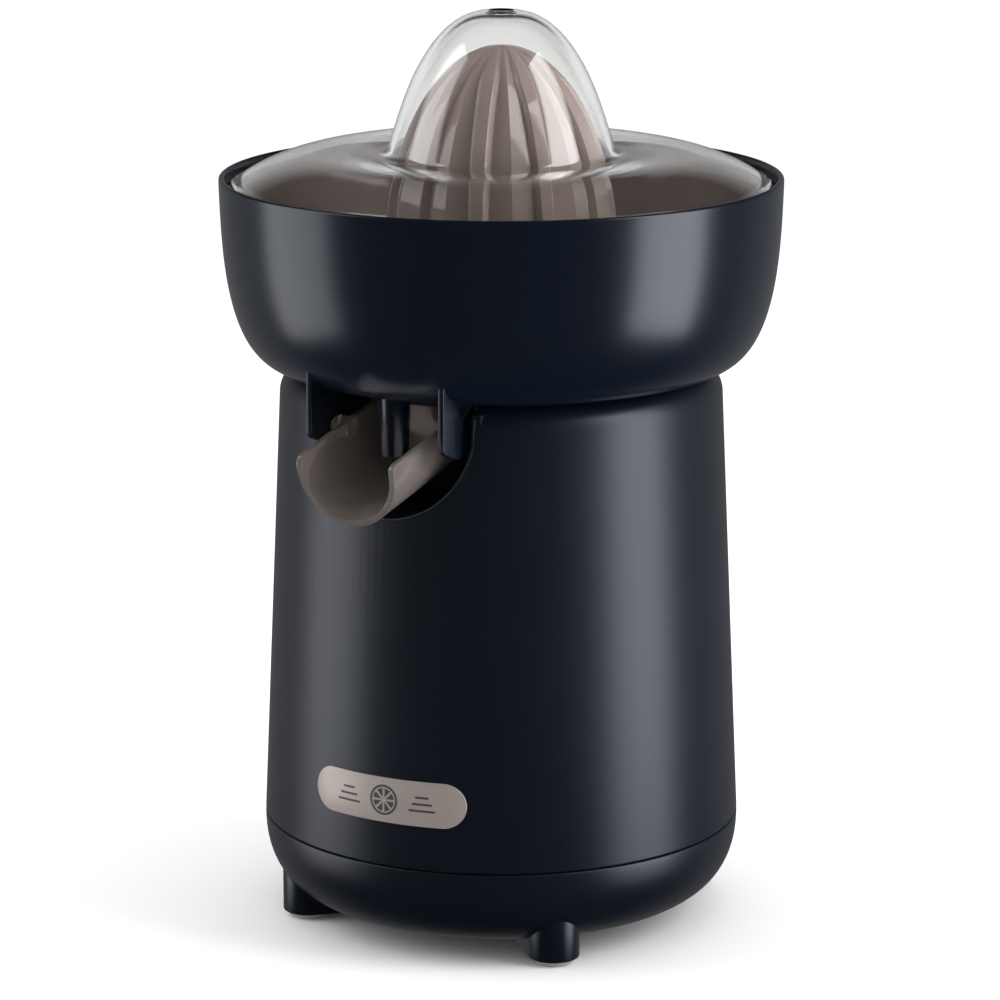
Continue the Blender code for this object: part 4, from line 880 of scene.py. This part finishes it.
cone_skin = arc((0.0, CONE_BASE), (CONE_RADIUS, CONE_HEIGHT), 0, 90, CONE_LEVELS)
hollow = [(radius - CONE_WALL, height)
          for radius, height in arc((0.0, CONE_BASE), (CONE_RADIUS, CONE_HEIGHT), 0, HOLLOW_ANGLE, 16)]
boss = POST_RADIUS + 2.6
socket = POST_RADIUS + 0.4
cone_line = [*reversed(cone_skin), (hollow[0][0] + 0.4, CONE_BASE), *hollow[1:], (boss, hollow[-1][1]),
             (boss, CAP_TOP + 0.3), (socket, CAP_TOP + 0.3), (socket, POST_TOP + 0.6),
             (0.0, POST_TOP + 0.6)]
cone = spun(cone_line, False, CONE_RIBS * STEPS_PER_RIB)
for vert in cone.verts:
    radius = math.hypot(vert.co.x, vert.co.y) / MM
    share = min(max((vert.co.z / MM - CONE_BASE) / CONE_HEIGHT, 0.0), 1.0)
    if radius > 0.01 and abs(radius - CONE_RADIUS * math.sqrt(1 - share ** 2)) < 0.05:
        turned = math.atan2(vert.co.y, vert.co.x) % math.tau
        step = round(turned / math.tau * CONE_RIBS * STEPS_PER_RIB) % (CONE_RIBS * STEPS_PER_RIB)
        angle, depth = rib_shape(step % STEPS_PER_RIB, radius)
        angle += 2 * HALF_RIB * (step // STEPS_PER_RIB)
        vert.co.x = (radius - depth) * math.cos(angle) * MM
        vert.co.y = (radius - depth) * math.sin(angle) * MM
ribbed_cone = piece("ribbed_cone", cone, smoky_cone, 24.0)
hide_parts("reamer_cone")
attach(ribbed_cone, "cone")

# ---- Lid -----------------------------------------------------------------------------------
# The clear lid is one injection moulding, 2 mm thick: a low dome that sits inside the bowl's rim
# and a tall hood over the cone, with the round mark of the mould's gate on top.
LID_RADIUS = 88.6
LID_WALL = 2.0
LID_EDGE = RIM_HEIGHT - 2.0
HOOD_RADIUS = 34.6
HOOD_BASE = RIM_HEIGHT + 17.0
HOOD_RISE = 37.0
HOOD_FULLNESS = 2.9
HOOD_DRAFT = 0.324
GATE_RADIUS = 4.0
NECK = HOOD_RADIUS + 7.1
NECK_RISE = 7.0                # of the dome over the bowl's rim, at the neck
SKIRT_DROP = 9.0               # of the dome, from the neck to the edge
SKIRT_SAG = 4.8                # how far the dome bulges over a straight line

# Clear SAN: water-clear with a faint green-grey cast, polished mould, flow ripple about 20 mm
# apart. Its shadow is thin, so lamps are let through.
clear, tree, shader = new_material("clear_san")
ripple = texture(tree, "ShaderNodeTexNoise", 20)
colour_by(tree, shader, ripple.outputs["Fac"], "F8F9F8", "FDFDFD")
bump_by(tree, shader, ripple.outputs["Fac"], 0.1, 0.02)
shader.inputs["Transmission Weight"].default_value = 1.0
shader.inputs["Roughness"].default_value = 0.015
shader.inputs["IOR"].default_value = 1.57
shadow = add_node(tree, "ShaderNodeLightPath").outputs["Is Shadow Ray"]
passing = add_node(tree, "ShaderNodeBsdfTransparent")
passing.inputs["Color"].default_value = (0.93, 0.94, 0.93, 1.0)
either = add_node(tree, "ShaderNodeMixShader", [(0, shadow), (1, shader.outputs["BSDF"]),
                                                (2, passing.outputs["BSDF"])])
tree.links.new(tree.nodes["Material Output"].inputs["Surface"], either.outputs["Shader"])


def hood_line(count):
    """The hood's outer side from its top centre to its base, as (radius, height)."""
    points = []
    for index in range(count + 1):
        angle = math.radians(90 * (1 - index / count))
        share = math.sin(angle) ** (2 / HOOD_FULLNESS) if index < count else 0.0
        across = max(math.cos(angle), 0.0) ** (2 / HOOD_FULLNESS) if index else 0.0
        radius = HOOD_RADIUS - HOOD_DRAFT * HOOD_RISE * share
        points.append((radius * across, HOOD_BASE + HOOD_RISE * share))
    return points


def skirt_line(count):
    """The low dome from the neck to the edge."""
    points = []
    for index in range(count + 1):
        share = index / count
        bulge = 4 * SKIRT_SAG * share * (1 - share)
        height = RIM_HEIGHT + NECK_RISE - SKIRT_DROP * share + bulge
        points.append((NECK + (LID_RADIUS - NECK) * share, height))
    return points


def inside_of(line, wall):
    """The same line moved inwards by a wall, with any that would cross the axis left out."""
    moved = []
    for index, point in enumerate(line):
        ahead = Vector(line[min(index + 1, len(line) - 1)]) - Vector(line[max(index - 1, 0)])
        normal = Vector((ahead.y, -ahead.x)).normalized() if index else Vector((0.0, -1.0))
        if normal.y > 0:
            normal = -normal
        spot_in = Vector(point) + normal * wall
        if spot_in.x >= 0 or not index:
            moved.append((max(spot_in.x, 0.0), spot_in.y))
    return moved


hood = hood_line(44)
skirt = skirt_line(24)
neck = eased([hood[-1], (NECK - 3.9, RIM_HEIGHT + 7.1, 3.2), skirt[0]], 10)
crown = [*hood, *neck[1:-1], *skirt]
underside = inside_of(crown, LID_WALL)
hood_top = hood[0][1]
gate = [(0.0, hood_top - 0.5), (GATE_RADIUS - 0.7, hood_top - 0.5),
        (GATE_RADIUS - 0.3, hood_top - 0.05), (GATE_RADIUS + 0.3, hood_top - 0.05)]
lid_rim = eased([crown[-1], (LID_RADIUS + 0.2, LID_EDGE - 0.8, 0.4),
                 (LID_RADIUS, LID_EDGE - LID_WALL, 0.6),
                 (LID_RADIUS - 1.6, LID_EDGE - LID_WALL, 0.4), underside[-2]])
upper_side = [*gate, *[point for point in crown if point[0] > GATE_RADIUS + 0.6]]
lid_line = [*upper_side[:-1], *lid_rim, *reversed(underside[:-2])]
lid_dome = piece("lid_dome", spun(lid_line, False, 192), clear, 50.0)
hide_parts("lid")
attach(lid_dome, "lid")

# ---- Spout ---------------------------------------------------------------------------------
# The drip-stop spout is a deep round gutter in smoky plastic, closed at the back. It tilts on two
# pins in the bowl's cheeks, each on a round boss, and rests 12 degrees down towards its lip.
SPOUT_WALL = 1.8
SPOUT_LENGTH = 48.8
SPOUT_BACK = 17.0
SPOUT_TILT = 12.0
SPOUT_SIDE_RISE = 4.0
SPOUT_EDGE = 3.3
LIP_CORNER = 7.0
BOSS_RADIUS = 3.6
PIN_LENGTH = 2.3
PIN_PLAY = 0.3                 # between a pin's end and the bottom of its seat

smoky_spout = smoked_san("smoked_san_spout", "DDD2CC", "CFC4BE", 0.9)
gutter_middle = (0.0, SPOUT_EDGE - SPOUT_SIDE_RISE)
open_angle = math.degrees(math.asin(SPOUT_SIDE_RISE / SPOUT_RADIUS))
wall_out = arc(gutter_middle, (SPOUT_RADIUS, SPOUT_RADIUS), open_angle, -180 - open_angle, 64)
wall_in = arc(gutter_middle, (SPOUT_RADIUS - SPOUT_WALL,) * 2, open_angle, -180 - open_angle, 64)
wall_in[0] = (wall_in[0][0], SPOUT_EDGE)
wall_in[-1] = (wall_in[-1][0], SPOUT_EDGE)
trough = bmesh.new()
chains = [[trough.verts.new((x * MM, y * MM, -SPOUT_BACK * MM)) for x, y in line]
          for line in (wall_out, wall_in)]
edges = [[trough.edges.new(pair) for pair in zip(chain, chain[1:])] for chain in chains]
bmesh.ops.bridge_loops(trough, edges=[*edges[0], *edges[1]])
grown = bmesh.ops.extrude_face_region(trough, geom=trough.faces[:])["geom"]
lip_end = [item for item in grown if isinstance(item, bmesh.types.BMVert)]
bmesh.ops.translate(trough, verts=lip_end, vec=(0.0, 0.0, SPOUT_LENGTH * MM))
bmesh.ops.recalc_face_normals(trough, faces=trough.faces)
front = SPOUT_LENGTH - SPOUT_BACK
rounding = eased([(front - LIP_CORNER, SPOUT_EDGE), (front, SPOUT_EDGE, LIP_CORNER),
                  (front, SPOUT_EDGE - LIP_CORNER)], 10)
waste = slab([*rounding, (front + 5, SPOUT_EDGE - LIP_CORNER), (front + 5, SPOUT_EDGE + 5),
              (front - LIP_CORNER, SPOUT_EDGE + 5)], -30.0, 30.0)
bmesh.ops.transform(waste, verts=waste.verts, matrix=Matrix(((0, 0, 1), (0, 1, 0), (1, 0, 0))))
bmesh.ops.recalc_face_normals(waste, faces=waste.faces)
trough = carve(trough, [waste])
soften(trough, 0.4, 50)
back_wall = slab([(x * 0.985, y) for x, y in wall_out], -SPOUT_BACK + 0.05, -SPOUT_BACK + SPOUT_WALL)
whole = gather([trough, soften(back_wall, 0.3, 60)])
turn(whole, 90 + SPOUT_TILT, "X")
bmesh.ops.translate(whole, verts=whole.verts, vec=Vector(PIVOT) * MM)
pins = []
wall_at = SPOUT_RADIUS - 1.2
pin_end = SPOUT_RADIUS + CHEEK_GAP + CHEEK_SEAT - PIN_PLAY
boss_end = pin_end - PIN_LENGTH
for side in (-1, 1):
    pin = spun(eased([(0.0, wall_at), (BOSS_RADIUS, wall_at), (BOSS_RADIUS, boss_end, 0.4),
                      (PIN_RADIUS, boss_end, 0.3), (PIN_RADIUS, pin_end, 0.4), (0.0, pin_end)]),
               False, 40)
    turn(pin, 90 * side, "Y")
    bmesh.ops.translate(pin, verts=pin.verts, vec=Vector(PIVOT) * MM)
    pins.append(pin)
tilting_spout = piece("tilting_spout", gather([whole, *pins]), smoky_spout)
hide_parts("spout")
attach(tilting_spout, "spout")

# ---- Drive inside --------------------------------------------------------------------------
# Gears, shaft, motor and fasteners sit inside the housing as the frame has them, all but the
# return spring, which is wound here. Each takes the finish of its real metal or plastic.

# Turned steel: lathe marks about 0.2 mm apart round the upright axis.
steel, tree, shader = new_material("turned_steel")
marks = texture(tree, "ShaderNodeTexWave", 20 * 0.2, bands_direction="Z")
colour_by(tree, shader, marks.outputs["Fac"], "A9ABAF", "C2C4C7")
shader.inputs["Metallic"].default_value = 1.0
shader.inputs["Roughness"].default_value = 0.3

# Zinc-plated stamped steel: dull, with spangle about 3 mm across.
stamped, tree, shader = new_material("zinc_plated_steel")
spangle = texture(tree, "ShaderNodeTexVoronoi", 3)
colour_by(tree, shader, spangle.outputs["Distance"], "8F9296", "A7AAAE")
shader.inputs["Metallic"].default_value = 1.0
shader.inputs["Roughness"].default_value = 0.42

# Enamelled copper wire: windings 0.35 mm apart under glossy varnish.
copper, tree, shader = new_material("enamelled_copper_wire")
wires = texture(tree, "ShaderNodeTexWave", 20 * 0.35)
colour_by(tree, shader, wires.outputs["Fac"], "6E3414", "B9662F")
bump_by(tree, shader, wires.outputs["Fac"], 0.6, 0.1)
shader.inputs["Metallic"].default_value = 1.0
shader.inputs["Roughness"].default_value = 0.35

# Sintered bronze: porous and oily, with grains about 0.3 mm across.
bronze, tree, shader = new_material("sintered_bronze")
pores = texture(tree, "ShaderNodeTexVoronoi", 0.3)
colour_by(tree, shader, pores.outputs["Distance"], "6F5330", "A17C4C")
shader.inputs["Metallic"].default_value = 1.0
shader.inputs["Roughness"].default_value = 0.5

# The return spring is a coil of hardened wire between the gearbox cover and the collar. It
# stands on the cover and is wound here at one length; in the press it shortens as the shaft is pressed
# down.
SPRING_LOW = 128.0
SPRING_HIGH = 141.0
SPRING_RADIUS = 6.3
SPRING_WIRE = 0.7
SPRING_TURNS = 5
COIL_STEPS = 32

route = []
all_steps = SPRING_TURNS * COIL_STEPS
for step in range(all_steps + 1):
    angle = math.tau * step / COIL_STEPS
    height = SPRING_LOW + (SPRING_HIGH - SPRING_LOW) * step / all_steps
    route.append((SPRING_RADIUS * math.cos(angle), SPRING_RADIUS * math.sin(angle), height))
press_coil = piece("press_coil", bead_along(route, SPRING_WIRE), steel, 50.0)
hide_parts("return_spring")
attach(press_coil, "base")
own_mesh(press_coil)

finishes = {"turned_steel": steel, "stamped_steel": stamped, "enamelled_copper": copper,
            "sintered_bronze": bronze, "black_nylon": black, "white_acetal": acetal,
            "grey_rubber": rubber, "navy_abs": navy_body, "smoked_san": shaded_smoky_insert,
            "clear_san": clear, "badge_metal": champagne}
for subpart in frame["record"]["subparts"]:
    node = frame["nodes"][subpart["node"]]
    node.data.materials.clear()
    node.data.materials.append(finishes[subpart["material_slot"]])
